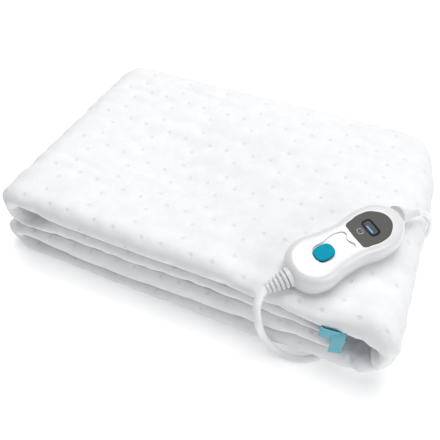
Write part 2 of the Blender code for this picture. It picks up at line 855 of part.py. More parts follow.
def tube(name, points, diameter, home, finish):
    curve = bpy.data.curves.new(name, "CURVE")
    curve.dimensions = "3D"
    curve.bevel_depth = diameter / 2
    curve.bevel_resolution = LEAD_BEVELS
    curve.use_fill_caps = True
    spline = curve.splines.new("POLY")
    spline.points.add(len(points) - 1)
    for knot, point in zip(spline.points, points):
        knot.co = (*point, 1.0)
    thing = bpy.data.objects.new(name, curve)
    bpy.context.scene.collection.objects.link(thing)
    return place(thing, home, finish)


def entry_block(name, lead_points):
    """A rounded block at the end of the blanket lead, in line with the cord's last stretch."""
    end = lead_points[-1]
    way = (end - lead_points[-2]).normalized()
    bpy.ops.mesh.primitive_cube_add(size=1.0)
    block = bpy.context.object
    block.name = name
    block.data.transform(Matrix.Diagonal((*ENTRY_SIZE, 1.0)))
    rim = block.modifiers.new("edge", "BEVEL")
    rim.width = ENTRY_ROUND
    rim.segments = 2
    middle = end + way * (ENTRY_SIZE[0] / 2 + CLEARANCE)
    block.location = (*middle.xy, ENTRY_BASE + ENTRY_SIZE[2] / 2)
    block.rotation_euler.z = math.atan2(way.y, way.x)
    return block


def coil_tie(name):
    """A band round the windings, seen as a short wide ring on one side of the coil."""
    inner = COIL_SECTION + TIE_ROOM
    outer = inner + TIE_WALL
    half = TIE_WIDTH / 2
    profile = [(inner, half), (outer, half), (outer, -half), (inner, -half), (inner, half)]
    band = turned(name, profile, TIE_FACETS)
    spot = Vector((math.cos(TIE_TURN), math.sin(TIE_TURN), 0.0))
    root = COIL_CENTRE + spot * COIL_RADIUS
    aim(band, root, root + spot.cross(Vector((0.0, 0.0, 1.0))))
    return band


def beside_coil(angle):
    """The place where a lead meets the outside of the wound part."""
    reach = COIL_RADIUS + COIL_SECTION + CLEARANCE
    return COIL_CENTRE + Vector((math.cos(angle), math.sin(angle), 0.0)) * reach


def lead_from(relief, route, diameter):
    """Points of a lead that goes straight on out of a relief and then along its route."""
    way = (relief.tip - relief.root).normalized()
    points = through([relief.tip + way * STRAIGHT, *route], diameter * POINT_SPACING)
    return [relief.tip + way * CLEARANCE] + points


# ---------------------------------------------------------------- the object

clear_scene()
parts = collection("electric_blanket")
cutters = collection("cutters")

fleece = material("white_fleece", (0.90, 0.90, 0.91), 0.95)
ribbon_cloth = material("teal_ribbon", (0.16, 0.47, 0.58), 0.75)
white_plastic = material("white_plastic", (0.86, 0.86, 0.86), 0.28)
soft_plastic = material("white_flex", (0.84, 0.84, 0.84), 0.45)
grey_plastic = material("grey_panel", (0.15, 0.15, 0.14), 0.40)
dark_window = material("dark_window", (0.01, 0.01, 0.015), 0.10)
blue_plastic = material("blue_button", (0.0, 0.36, 0.54), 0.35)
steel = material("plug_pin", (0.72, 0.70, 0.66), 0.25, 1.0)

blanket = make_blanket(parts, fleece)

# Ribbon: its front hangs before the folds, and a strand leads back between the layers.
ribbon_front = FRONT - RIBBON_GAP - RIBBON
ribbon = place(ribbon_plate("ribbon_tab", ribbon_front), parts, ribbon_cloth)
cut(ribbon, ribbon_strand("ribbon_strand", ribbon_front), "UNION")

# Shells: one rounded body, hollow, parted low on its side.
outer_body = outline_prism("handset_upper", HANDSET_OUTLINE, 0.0, HANDSET_HEIGHT, edge=HANDSET_EDGE)
hollow = outline_prism(
    "handset_hollow",
    HANDSET_OUTLINE,
    HANDSET_WALL,
    HANDSET_HEIGHT - HANDSET_TOP_WALL,
    grow=-HANDSET_WALL,
    edge=HOLLOW_EDGE,
)
upper = place(outer_body, parts, white_plastic)
lower = bpy.data.objects.new("handset_lower", upper.data.copy())
parts.objects.link(lower)
lower.data.materials.clear()
lower.data.materials.append(white_plastic)
for shell in (upper, lower):
    cut(shell, hollow)
cut(upper, handset_block("below_parting", -CUT_PAST, PARTING_HEIGHT + CLEARANCE / 2))
cut(
    lower,
    handset_block("above_parting", PARTING_HEIGHT - CLEARANCE / 2, HANDSET_HEIGHT + CUT_PAST),
)

# Strain reliefs, each with its foot held in a hole through the end wall.
make_relief("relief_front", FRONT_RELIEF, ringed_profile, parts, soft_plastic)
make_relief("relief_back", BACK_RELIEF, trumpet_profile, parts, soft_plastic)

# Track hollow in the top face.
track_floor = HANDSET_HEIGHT - TRACK_DEPTH
cut(upper, outline_prism("track_hollow", TRACK_OUTLINE, track_floor, HANDSET_HEIGHT + CUT_ABOVE))

# Slot for the button's stem, and the button at the lower end of the track.
slot_middle = BUTTON_CENTRE + BUTTON_TRAVEL / 2
slot_size = (
    STEM_SIZE[0] + BUTTON_TRAVEL + 2 * CLEARANCE,
    STEM_SIZE[1] + 2 * CLEARANCE,
)
slot = clipped_block(
    "stem_slot",
    slot_middle,
    slot_size,
    STEM_CORNER,
    track_floor - STEM_LENGTH,
    track_floor + TRACK_DEPTH / 2,
)
cut(upper, slot)
button_low = track_floor + CLEARANCE
button = oval(
    "button",
    BUTTON_CENTRE,
    BUTTON_SIZE,
    button_low,
    button_low + BUTTON_THICKNESS,
    edge=BUTTON_ROUND,
)
place(button, parts, blue_plastic)
stem = clipped_block(
    "button_stem",
    BUTTON_CENTRE,
    STEM_SIZE,
    STEM_CORNER,
    track_floor - STEM_LENGTH + 2 * CLEARANCE,
    button_low + BUTTON_THICKNESS / 2,
)
cut(button, stem, "UNION")

# Panel in its pocket, and the window in the panel.
panel_low = HANDSET_HEIGHT + PANEL_STANDS - PANEL_THICKNESS
panel_high = HANDSET_HEIGHT + PANEL_STANDS
panel_pocket = outline_prism(
    "panel_pocket", PANEL_OUTLINE, panel_low - CLEARANCE, panel_high + CUT_ABOVE, grow=CLEARANCE
)
cut(upper, panel_pocket)
panel = outline_prism("display_panel", PANEL_OUTLINE, panel_low, panel_high)
place(panel, parts, grey_plastic)
window_low = panel_high + WINDOW_STANDS - WINDOW_THICKNESS
cut(
    panel,
    clipped_block(
        "window_pocket",
        WINDOW_CENTRE,
        WINDOW_SIZE,
        WINDOW_CORNER,
        window_low - CLEARANCE,
        panel_high + CUT_ABOVE,
        grow=CLEARANCE,
    ),
)
window = clipped_block(
    "display_window",
    WINDOW_CENTRE,
    WINDOW_SIZE,
    WINDOW_CORNER,
    window_low,
    window_low + WINDOW_THICKNESS,
)
place(window, parts, dark_window)

# Leads.
lead_points = lead_from(FRONT_RELIEF, BLANKET_LEAD_ROUTE, LEAD_DIAMETER)
tube("blanket_lead", lead_points, LEAD_DIAMETER, parts, soft_plastic)
mains_end = beside_coil(LEAD_MEETS_COIL)
mains_points = lead_from(BACK_RELIEF, [*MAINS_ROUTE, mains_end], MAINS_DIAMETER)
tube("mains_lead", mains_points, MAINS_DIAMETER, parts, soft_plastic)

# The moulded end of the blanket lead, fixed under the cloth where the cord goes in.
place(entry_block("cord_entry", lead_points), parts, soft_plastic)

# The wound part of the mains lead, its tie, and the plug beside it.
bpy.ops.mesh.primitive_torus_add(
    major_radius=COIL_RADIUS,
    minor_radius=COIL_SECTION,
    major_segments=COIL_FACETS,
    minor_segments=COIL_SECTION_FACETS,
)
coil = bpy.context.object
coil.name = "mains_coil"
coil.location = COIL_CENTRE
place(coil, parts, soft_plastic)
place(coil_tie("coil_tie"), parts, soft_plastic)

place(plug_body("plug"), parts, soft_plastic)
sleeve_length = (PLUG_RELIEF.tip - PLUG_RELIEF.root).length
plug_sleeve = turned("plug_relief", sleeve_profile(PLUG_RELIEF, sleeve_length), RELIEF_FACETS)
aim(plug_sleeve, PLUG_RELIEF.root, PLUG_RELIEF.tip)
place(plug_sleeve, parts, soft_plastic)
tail_points = lead_from(PLUG_RELIEF, [*TAIL_ROUTE, beside_coil(TAIL_MEETS_COIL)], MAINS_DIAMETER)
tube("mains_tail", tail_points, MAINS_DIAMETER, parts, soft_plastic)
for label, side in (("plug_pin_left", -1), ("plug_pin_right", 1)):
    place(plug_pin(label, side), parts, steel)
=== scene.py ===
# %% [markdown]
# # A folded electric under-blanket with its hand control
#
# This lesson builds the looks of one electric under-blanket: white short-pile fleece, folded
# into a flat stack, with a white hand control lying on top and two leads.  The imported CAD
# model gives every size and place, and it stays as it is: each new piece either stands for
# one of its solids or gives that solid a better material.  All lengths are in metres, +X runs
# along the front of the stack from left to right, +Y goes back and +Z is up.

import json
import math
from collections import namedtuple

import bmesh
import bpy
from mathutils import Matrix, Vector, noise

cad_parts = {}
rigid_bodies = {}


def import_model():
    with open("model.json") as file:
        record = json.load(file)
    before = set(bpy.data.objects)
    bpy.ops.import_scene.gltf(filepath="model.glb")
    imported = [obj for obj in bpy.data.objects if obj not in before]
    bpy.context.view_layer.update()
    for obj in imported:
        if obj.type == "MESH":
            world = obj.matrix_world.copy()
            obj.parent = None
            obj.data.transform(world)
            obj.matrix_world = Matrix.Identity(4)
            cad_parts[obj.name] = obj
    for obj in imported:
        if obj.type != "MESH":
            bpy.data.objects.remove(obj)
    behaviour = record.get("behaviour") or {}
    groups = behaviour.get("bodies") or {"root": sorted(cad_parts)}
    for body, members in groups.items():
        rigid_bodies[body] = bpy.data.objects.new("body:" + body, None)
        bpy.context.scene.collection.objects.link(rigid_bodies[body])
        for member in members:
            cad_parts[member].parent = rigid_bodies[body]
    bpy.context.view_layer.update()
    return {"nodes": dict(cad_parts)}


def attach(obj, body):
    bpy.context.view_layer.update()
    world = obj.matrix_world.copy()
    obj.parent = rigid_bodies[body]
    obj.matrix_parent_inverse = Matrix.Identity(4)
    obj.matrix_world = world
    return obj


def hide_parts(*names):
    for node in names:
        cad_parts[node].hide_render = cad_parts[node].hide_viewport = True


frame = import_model()

# %% [markdown]
# The camera comes first, because it decides what is seen.  The photograph looks down on the
# stack at a little under 50 degrees from its front right.  The height, the turn and the focal
# length were found from the corners of the stack and the spacing of its bonded points, so
# they are plain numbers here.

# %% Camera
CAMERA_PLACE = (0.13979, -0.34957, 0.43149)
CAMERA_TILT = math.radians(90 - 48.55)
CAMERA_TURN = math.radians(23.85)
CAMERA_LENS = 39.27
SENSOR_WIDTH = 36.0
NEAR_CLIP = 0.01

camera_data = bpy.data.cameras.new("studio_camera")
camera_data.lens = CAMERA_LENS
camera_data.sensor_width = SENSOR_WIDTH
camera_data.clip_start = NEAR_CLIP
camera = bpy.data.objects.new("studio_camera", camera_data)
camera.location = CAMERA_PLACE
camera.rotation_euler = (CAMERA_TILT, 0.0, CAMERA_TURN)
bpy.context.scene.collection.objects.link(camera)
bpy.context.scene.camera = camera

# %% [markdown]
# A few helpers are used all through the lesson.  Operators act on whatever is selected, so
# everything is deselected before a primitive is added.  A finished piece has its place in its
# mesh and its object at the origin, so `settle` applies the object's transform.

# %% Helpers for operators
def deselect_all():
    if bpy.context.object and bpy.context.object.mode != "OBJECT":
        bpy.ops.object.mode_set(mode="OBJECT")
    for thing in bpy.context.view_layer.objects:
        thing.select_set(False)


def only(thing):
    deselect_all()
    thing.select_set(True)
    bpy.context.view_layer.objects.active = thing
    return thing


def edit():
    bpy.ops.object.mode_set(mode="EDIT")


def leave():
    bpy.ops.object.mode_set(mode="OBJECT")


def placed(name, data):
    """A new object that holds the data, linked to the scene."""
    thing = bpy.data.objects.new(name, data)
    bpy.context.scene.collection.objects.link(thing)
    return thing


def dress(thing, *materials):
    """Give a piece these materials and no others."""
    thing.data.materials.clear()
    for material in materials:
        thing.data.materials.append(material)


def settle(thing, degrees=35):
    """Apply every modifier and the transform, and shade the piece smooth up to an angle."""
    only(thing)
    for step in list(thing.modifiers):
        bpy.ops.object.modifier_apply(modifier=step.name)
    bpy.ops.object.transform_apply(location=True, rotation=True, scale=True)
    bpy.ops.object.shade_smooth_by_angle(angle=math.radians(degrees))
    return thing


def weld(thing, distance=0.000005):
    """Merge doubled vertices and turn all faces outwards."""
    only(thing)
    edit()
    bpy.ops.mesh.select_all(action="SELECT")
    bpy.ops.mesh.remove_doubles(threshold=distance)
    bpy.ops.mesh.normals_make_consistent(inside=False)
    leave()
    return thing


def report(thing):
    print(thing.name, len(thing.data.polygons), "faces")


# %% [markdown]
# Every finish is a small node tree.  `finish` starts one with a Principled shader, and the
# helpers below it add noise, bump and simple arithmetic, so that a material reads like a
# recipe.  Patterns read Object coordinates, or the piece's own UV map where they have to
# follow cloth.

# %% Helpers for materials
def finish(name, colour, roughness, **sockets):
    made = bpy.data.materials.new(name)
    made.use_nodes = True
    shader = made.node_tree.nodes["Principled BSDF"]
    shader.inputs["Base Color"].default_value = (*colour, 1.0)
    shader.inputs["Roughness"].default_value = roughness
    for socket, value in sockets.items():
        shader.inputs[socket.replace("_", " ")].default_value = value
    return made


def node(made, kind, **values):
    step = made.node_tree.nodes.new(kind)
    for key, value in values.items():
        setattr(step, key, value)
    return step


def link(made, source, target):
    made.node_tree.links.new(source, target)


def shader_of(made):
    return made.node_tree.nodes["Principled BSDF"]


def coordinates(made):
    return node(made, "ShaderNodeTexCoord").outputs["Object"]


def arithmetic(made, operation, first, second=None):
    step = node(made, "ShaderNodeMath", operation=operation)
    for socket, value in zip(step.inputs, (first, second)):
        if value is None:
            continue
        if isinstance(value, (int, float)):
            socket.default_value = value
        else:
            link(made, value, socket)
    return step.outputs[0]


def mottle(made, scale, detail=3.0, roughness=0.6, stretch=(1.0, 1.0, 1.0)):
    """Noise of about 1 / scale metres a lump, stretched along the axes."""
    turn = node(made, "ShaderNodeMapping")
    turn.inputs["Scale"].default_value = stretch
    link(made, coordinates(made), turn.inputs["Vector"])
    grain = node(made, "ShaderNodeTexNoise")
    grain.inputs["Scale"].default_value = scale
    grain.inputs["Detail"].default_value = detail
    grain.inputs["Roughness"].default_value = roughness
    link(made, turn.outputs["Vector"], grain.inputs["Vector"])
    return grain.outputs["Fac"]


def ramp(made, source, low, high, low_colour, high_colour):
    """Map a value between low and high to a blend of two colours."""
    step = node(made, "ShaderNodeValToRGB")
    step.color_ramp.elements[0].position = low
    step.color_ramp.elements[0].color = (*low_colour, 1.0)
    step.color_ramp.elements[1].position = high
    step.color_ramp.elements[1].color = (*high_colour, 1.0)
    link(made, source, step.inputs["Fac"])
    return step.outputs["Color"]


def tinted(made, source, low, high, low_colour, high_colour):
    """Let the base colour blend between two tints."""
    blend = ramp(made, source, low, high, low_colour, high_colour)
    link(made, blend, shader_of(made).inputs["Base Color"])


def bump(made, height, depth, strength=1.0, under=None):
    """A relief of so many metres on top of the relief under it."""
    step = node(made, "ShaderNodeBump")
    step.inputs["Strength"].default_value = strength
    step.inputs["Distance"].default_value = depth
    link(made, height, step.inputs["Height"])
    if under is not None:
        link(made, under, step.inputs["Normal"])
    link(made, step.outputs["Normal"], shader_of(made).inputs["Normal"])
    return step.outputs["Normal"]


# %% [markdown]
# The leads are round PVC cord.  A real cord runs on one smooth curve, so its line is read from
# a smooth curve through a few listed points, the same points as in the CAD part.  The
# cord could be a curve object with a bevel, and that is what it is here: the tube then keeps
# its diameter all along, and its centre line is its length.

# %% Cord lines
BLANKET_LEAD = 0.0070
MAINS_LEAD = 0.0046
CLEARANCE = 0.0003
STRAIGHT = 0.0046
IN_RELIEF = 0.002
LEAD_SPACING = 0.003
MAINS_SPACING = 0.0022
CURVE_STEPS = 24

FRONT_ROOT, FRONT_TIP = Vector((0.1006, -0.1119, 0.0962)), Vector((0.0876, -0.1255, 0.0910))
BACK_ROOT, BACK_TIP = Vector((0.1705, -0.0165, 0.1055)), Vector((0.1851, 0.0005, 0.0985))

BLANKET_LEAD_ROUTE = (
    (0.0819, -0.1358, 0.0865),
    (0.0826, -0.1440, 0.0798),
    (0.0861, -0.1484, 0.0685),
    (0.0874, -0.1463, 0.0565),
    (0.0873, -0.1423, 0.0459),
    (0.0872, -0.1393, 0.0378),
    (0.0886, -0.1372, 0.0283),
    (0.0928, -0.1371, 0.0192),
    (0.1000, -0.1371, 0.0112),
    (0.1089, -0.1369, 0.0052),
    (0.1180, -0.1367, 0.0038),
    (0.1284, -0.1341, 0.0038),
    (0.1377, -0.1287, 0.0038),
    (0.1451, -0.1210, 0.0038),
    (0.1502, -0.1116, 0.0038),
    (0.1524, -0.1011, 0.0038),
)
MAINS_ROUTE = (
    (0.1942, 0.0122, 0.0908),
    (0.2004, 0.0203, 0.0805),
    (0.2060, 0.0282, 0.0640),
    (0.2085, 0.0345, 0.0430),
    (0.2090, 0.0430, 0.0230),
    (0.2088, 0.0560, 0.0085),
    (0.2082, 0.0750, 0.0030),
    (0.2080, 0.1000, 0.0026),
    (0.2050, 0.1280, 0.0026),
    (0.1980, 0.1520, 0.0026),
    (0.1870, 0.1700, 0.0036),
    (0.1700, 0.1850, 0.0072),
)


def through(points, spacing):
    """Points a fixed way apart on one smooth curve through a route's points."""
    knots = [Vector(p) for p in points]
    knots = [knots[0] * 2 - knots[1]] + knots + [knots[-1] * 2 - knots[-2]]
    fine = []
    for p, q, r, s in zip(knots, knots[1:], knots[2:], knots[3:]):
        for step in range(CURVE_STEPS):
            t = step / CURVE_STEPS
            bend = (2 * p - 5 * q + 4 * r - s) * t ** 2 + (3 * q - p - 3 * r + s) * t ** 3
            fine.append((2 * q + (r - p) * t + bend) / 2)
    fine.append(knots[-2])
    made = [fine[0]]
    for spot in fine[1:]:
        if (spot - made[-1]).length >= spacing:
            made.append(spot)
    return made + [fine[-1]]


def cord_curve(name, points, diameter, material):
    data = bpy.data.curves.new(name, "CURVE")
    data.dimensions = "3D"
    data.bevel_depth = diameter / 2
    data.bevel_resolution = 5
    data.use_fill_caps = True
    spline = data.splines.new("POLY")
    spline.points.add(len(points) - 1)
    for knot, spot in zip(spline.points, points):
        knot.co = (*spot, 1.0)
    spline.use_smooth = True
    data.materials.append(material)
    return placed(name, data)


def length_of(points):
    return sum((b - a).length for a, b in zip(points, points[1:]))


# %% [markdown]
# White PVC is not a mirror and not chalk: a cord has a broad soft highlight and very fine
# marks from the extruder.  A clear blend of roughness and a shallow noise bump give that.

# %% Finish of the cords
cord_white = finish("cord_white", (0.88, 0.88, 0.89), 0.36, Specular_IOR_Level=0.5)
tinted(
    cord_white, mottle(cord_white, 120.0), 0.3, 0.75, (0.86, 0.86, 0.87), (0.90, 0.90, 0.905)
)
bump(cord_white, mottle(cord_white, 900.0), 0.00005, 0.25)

# %% Lead from the hand control into the blanket
front_way = (FRONT_TIP - FRONT_ROOT).normalized()
lead_start = [FRONT_TIP - front_way * IN_RELIEF, FRONT_TIP + front_way * STRAIGHT]
lead_points = through([*lead_start, *BLANKET_LEAD_ROUTE], LEAD_SPACING)
blanket_cord = cord_curve("blanket_cord", lead_points, BLANKET_LEAD, cord_white)
print("blanket lead", round(length_of(lead_points), 3), "m")

# %% [markdown]
# The mains lead goes over the right edge, round the side and is wound up behind the stack for
# storage.  The turns are one line that runs round a ring while it also creeps round the
# ring's section, so that every turn lies a diameter beside the one before it.

# %% Mains lead with its coil
COIL_CENTRE = Vector((0.1120, 0.1830, 0.0117))
COIL_RADIUS = 0.0265
COIL_STRANDS = 9
COIL_BUNDLE = MAINS_LEAD / 2 / math.sin(math.pi / COIL_STRANDS)
COIL_START = math.radians(57)
COIL_TURNS = 8
COIL_END = math.radians(150 + 360 * COIL_TURNS)
POINTS_PER_TURN = 40
PLUG_SLEEVE_TIP = Vector((0.0553, 0.1830, 0.00695))

back_way = (BACK_TIP - BACK_ROOT).normalized()
mains_start = [BACK_TIP - back_way * IN_RELIEF, BACK_TIP + back_way * STRAIGHT]
coil_points = []
steps = COIL_TURNS * POINTS_PER_TURN
for i in range(steps + 1):
    turn = COIL_START + (COIL_END - COIL_START) * i / steps
    creep = (turn - COIL_START) / COIL_STRANDS
    reach = COIL_RADIUS + COIL_BUNDLE * math.cos(creep)
    rise = COIL_BUNDLE * math.sin(creep)
    coil_points.append(
        COIL_CENTRE + Vector((reach * math.cos(turn), reach * math.sin(turn), rise))
    )
coil_way = Vector((-math.sin(COIL_END), math.cos(COIL_END), 0.0))
tail_points = [
    coil_points[-1] + coil_way * 0.0100 + Vector((-0.0014, 0.0, 0.0)),
    coil_points[-1] + coil_way * 0.0155 + Vector((-0.0075, 0.0, -0.0006)),
    PLUG_SLEEVE_TIP + Vector((0.0060, 0.0006, 0.0)),
    PLUG_SLEEVE_TIP + Vector((-0.0030, 0.0, 0.0)),
]
mains_line = through([*mains_start, *MAINS_ROUTE, *coil_points, *tail_points], MAINS_SPACING)
mains_cord = cord_curve("mains_cord", mains_line, MAINS_LEAD, cord_white)
print("mains lead", round(length_of(mains_line), 3), "m")

# %% [markdown]
# The blanket is the main piece.  The real one is a single sheet: two fleeces bonded
# together at small points, with the heating wire between them.  Folded cloth could be thrown
# down by a cloth simulation, but a neat machine fold has its folds in known places, so the
# sheet is laid out here by its folds.  It is first folded in three across its width, which
# gives a strip of three plies with a round fold all along the front.  The strip is then
# folded into four layers: both ends are turned in, and the whole is folded once more round
# the right side.  The tables below say where each groove, layer and turn lies.

# %% How the cloth is folded
STACK_WIDTH = 0.410
STACK_DEPTH = 0.258
STACK_HEIGHT = 0.096
CLOTH = 0.0030
FRONT = -STACK_DEPTH / 2
BACK = STACK_DEPTH / 2

Station = namedtuple("Station", "x groove_1 gap_1 groove_2 gap_2 groove_3 gap_3")
STATIONS = (
    Station(-0.176, 0.0635, 0.0200, 0.0435, 0.0010, 0.0205, 0.0110),
    Station(-0.158, 0.0655, 0.0110, 0.0445, 0.0010, 0.0190, 0.0070),
    Station(-0.140, 0.0665, 0.0022, 0.0455, 0.0010, 0.0180, 0.0020),
    Station(-0.100, 0.0665, 0.0010, 0.0465, 0.0010, 0.0175, 0.0010),
    Station(-0.050, 0.0670, 0.0010, 0.0470, 0.0010, 0.0180, 0.0010),
    Station(0.000, 0.0690, 0.0010, 0.0505, 0.0010, 0.0215, 0.0010),
    Station(0.050, 0.0700, 0.0010, 0.0510, 0.0010, 0.0245, 0.0010),
    Station(0.090, 0.0700, 0.0010, 0.0520, 0.0010, 0.0260, 0.0010),
    Station(0.120, 0.0655, 0.0010, 0.0505, 0.0010, 0.0265, 0.0010),
    Station(0.145, 0.0605, 0.0010, 0.0465, 0.0010, 0.0265, 0.0010),
    Station(0.163, 0.0600, 0.0010, 0.0445, 0.0010, 0.0260, 0.0010),
)

Layer = namedtuple("Layer", "over under nose setback")
LAYERS = {
    1: Layer("top", "groove_1", 0.0110, -0.0030),
    2: Layer("groove_1", "groove_2", 0.0070, -0.0010),
    3: Layer("groove_2", "groove_3", 0.0075, -0.0025),
    4: Layer("groove_3", "floor", 0.0070, -0.0030),
}

Turn = namedtuple("Turn", "x side outer inner sections")
UPPER_LEFT_TURN = Turn(-0.176, -1, 0.0310, 0.0160, 15)
LOWER_LEFT_TURN = Turn(-0.176, -1, 0.0430, 0.0240, 15)
RIGHT_TURN = Turn(0.163, 1, 0.0405, 0.0270, 27)

Pleat = namedtuple("Pleat", "degrees pull draw")
PLEATS = (
    Pleat(0, 0.000, 0.000),
    Pleat(45, 0.000, 0.000),
    Pleat(75, 0.000, 0.000),
    Pleat(105, 0.005, 0.001),
    Pleat(130, -0.001, 0.003),
    Pleat(150, 0.004, 0.000),
    Pleat(165, 0.000, 0.002),
    Pleat(180, 0.000, 0.000),
)

CornerRound = namedtuple("CornerRound", "side_x side_y radius_x radius_y")
CORNERS = (
    CornerRound(-1, -1, 0.010, 0.010),
    CornerRound(1, -1, 0.014, 0.014),
    CornerRound(-1, 1, 0.026, 0.026),
    CornerRound(1, 1, 0.038, 0.060),
)

RUN_START, RUN_STOP = -0.172, 0.160
UPPER_END, LOWER_END = 0.156, 0.153
FINE_STEP, COARSE_STEP = 0.0042, 0.0070
FREE_EDGE_INSET = 0.009
INNER_EDGE_INSET = 0.012
BACK_FOLD = 0.0060
FREE_ROWS, OUTER_ROWS, INNER_ROWS = 7, 84, 6
FRONT_FOLD_SECTIONS, BACK_FOLD_SECTIONS = 15, 6


def between(table, column, here):
    """A column as a smooth curve over the table's first one, level past its two ends."""
    places = [row[0] for row in table]
    values = [getattr(row, column) for row in table]
    if here <= places[0]:
        return values[0]
    if here >= places[-1]:
        return values[-1]
    at = max(i for i, spot in enumerate(places) if spot <= here)
    span = places[at + 1] - places[at]
    t = (here - places[at]) / span

    def slope(i):
        if i in (0, len(places) - 1):
            return 0.0
        return (values[i + 1] - values[i - 1]) / (places[i + 1] - places[i - 1])

    rise = values[at + 1] - values[at]
    a = slope(at) * span
    b = slope(at + 1) * span
    return values[at] + a * t + (3 * rise - 2 * a - b) * t ** 2 + (a + b - 2 * rise) * t ** 3


def ease(t):
    t = min(max(t, 0.0), 1.0)
    return t * t * (3 - 2 * t)


# %% [markdown]
# Three plies lie in each layer.  `ply_height` gives the middle of a ply between the grooves
# over and under its layer, and a section of the strip is a function from a ply to a place.

# %% Sections of the strip
def level_of(edge, x, side):
    """Height of the face of a layer at one of its edges; side is +1 over it, -1 under it."""
    if edge == "top":
        return STACK_HEIGHT
    if edge == "floor":
        return 0.0
    gap = between(STATIONS, edge.replace("groove", "gap"), x)
    return between(STATIONS, edge, x) - side * gap / 2


def ply_height(layer, x, ply):
    row = LAYERS[layer]
    over = level_of(row.over, x, 1) - CLOTH / 2
    under = level_of(row.under, x, -1) + CLOTH / 2
    outer, inner = (over, under) if layer in (1, 3) else (under, over)
    return outer + (inner - outer) * ply


def run_section(layer, x):
    row = LAYERS[layer]

    def at(ply):
        return x, ply_height(layer, x, ply)

    return at, row.nose, row.setback


def turn_section(turn, first, last, share):
    """A section of a turn from one layer to another; share runs from 0 to 1 round it."""
    angle = math.pi * share
    nose = LAYERS[first].nose + (LAYERS[last].nose - LAYERS[first].nose) * share
    setback = LAYERS[first].setback + (LAYERS[last].setback - LAYERS[first].setback) * share
    pull, draw = (0.0, 0.0)
    if turn is RIGHT_TURN:
        pull = between(PLEATS, "pull", math.degrees(angle))
        draw = between(PLEATS, "draw", math.degrees(angle))

    def at(ply):
        start = ply_height(first, turn.x, ply)
        stop = ply_height(last, turn.x, ply)
        reach = turn.outer + (turn.inner - turn.outer) * ply - pull * ply
        x = turn.x + turn.side * reach * math.sin(angle)
        return x, (start + stop) / 2 + (start - stop) / 2 * math.cos(angle)

    return at, nose, setback + draw


def run(layer, spacing, stop=RUN_STOP):
    count = round((stop - RUN_START) / spacing)
    places = [RUN_START + (stop - RUN_START) * i / count for i in range(count + 1)]
    return [run_section(layer, x) for x in places]


def turn_of(turn, first, last):
    count = turn.sections
    return [turn_section(turn, first, last, i / (count + 1)) for i in range(count + 2)]


strip = (
    run(2, COARSE_STEP, UPPER_END)[::-1]
    + turn_of(UPPER_LEFT_TURN, 2, 1)
    + run(1, FINE_STEP)
    + turn_of(RIGHT_TURN, 1, 4)
    + run(4, COARSE_STEP)[::-1]
    + turn_of(LOWER_LEFT_TURN, 4, 3)
    + run(3, COARSE_STEP, LOWER_END)
)
top_run_start = len(run(2, COARSE_STEP, UPPER_END)) + UPPER_LEFT_TURN.sections + 2
print(len(strip), "sections along the strip")


def strip_profile(nose, setback):
    """The three plies across the strip, as (y, ply): back edge, front fold, back fold, in."""
    front = FRONT + setback + CLOTH / 2
    back = BACK - CLOTH / 2
    first = front + nose
    made = []
    for i in range(FREE_ROWS):
        start = back - FREE_EDGE_INSET
        made.append((start + (first - start) * i / FREE_ROWS, 1.0))
    for i in range(FRONT_FOLD_SECTIONS + 1):
        angle = math.pi * i / FRONT_FOLD_SECTIONS
        made.append((front + nose * (1 - math.sin(angle)), (1 + math.cos(angle)) / 2))
    for i in range(1, OUTER_ROWS):
        made.append((first + (back - BACK_FOLD - first) * i / OUTER_ROWS, 0.0))
    for i in range(BACK_FOLD_SECTIONS + 1):
        angle = math.pi * i / BACK_FOLD_SECTIONS
        made.append((back - BACK_FOLD * (1 - math.sin(angle)), (1 - math.cos(angle)) / 4))
    for i in range(1, INNER_ROWS + 1):
        start = back - BACK_FOLD
        made.append((start + (first + INNER_EDGE_INSET - start) * i / INNER_ROWS, 0.5))
    return made


# %% [markdown]
# Cloth that lies never stays square.  Its corners are drawn in, the middle of the stack sags
# between the stiff folds, the front rides up a little over the lead that runs in under it,
# and the hand control presses its own bed into the top.

# %% What weight and corners do to the stack
SAG_DEPTH = 0.0165
SAG_CENTRE = (-0.045, -0.020)
SAG_REACH_X = (0.165, 0.200)
SAG_REACH_Y = (0.125, 0.120)
LIFT_HEIGHT = 0.0092
LIFT_CENTRE = (0.150, -0.108)
LIFT_LEVEL = (0.020, 0.030)
LIFT_SLOPE = 0.042
LIFT_POWER = 1.5
PRESS_REACH = (-0.052, 0.037)
PRESS_HALF_WIDTH = 0.031
PRESS_SLOPE = 0.042
PRESS_POWER = 4.0

HANDSET_SEAT = Vector((0.1342, -0.0647, 0.0908))
HANDSET_TURN, HANDSET_PITCH, HANDSET_ROLL = 53.2, 4.0, 7.5
HANDSET_FRAME = (
    Matrix.Translation(HANDSET_SEAT)
    @ Matrix.Rotation(math.radians(HANDSET_TURN), 4, "Z")
    @ Matrix.Rotation(-math.radians(HANDSET_PITCH), 4, "Y")
    @ Matrix.Rotation(math.radians(HANDSET_ROLL), 4, "X")
)


def round_corner(x, y):
    for corner in CORNERS:
        far_x = STACK_WIDTH / 2 - corner.radius_x
        far_y = STACK_DEPTH / 2 - corner.radius_y
        u = (x * corner.side_x - far_x) / corner.radius_x
        v = (y * corner.side_y - far_y) / corner.radius_y
        if u > 0 and v > 0:
            shrink_x = math.sqrt(1 - min(v, 1) ** 2 / 2)
            shrink_y = math.sqrt(1 - min(u, 1) ** 2 / 2)
            x = corner.side_x * (far_x + corner.radius_x * u * shrink_x)
            y = corner.side_y * (far_y + corner.radius_y * v * shrink_y)
    return x, y


def sag(x, y):
    off_x = x - SAG_CENTRE[0]
    off_y = y - SAG_CENTRE[1]
    share_x = 1 - ease(abs(off_x) / SAG_REACH_X[off_x > 0])
    share_y = 1 - ease(abs(off_y) / SAG_REACH_Y[off_y > 0])
    return SAG_DEPTH * share_x * share_y


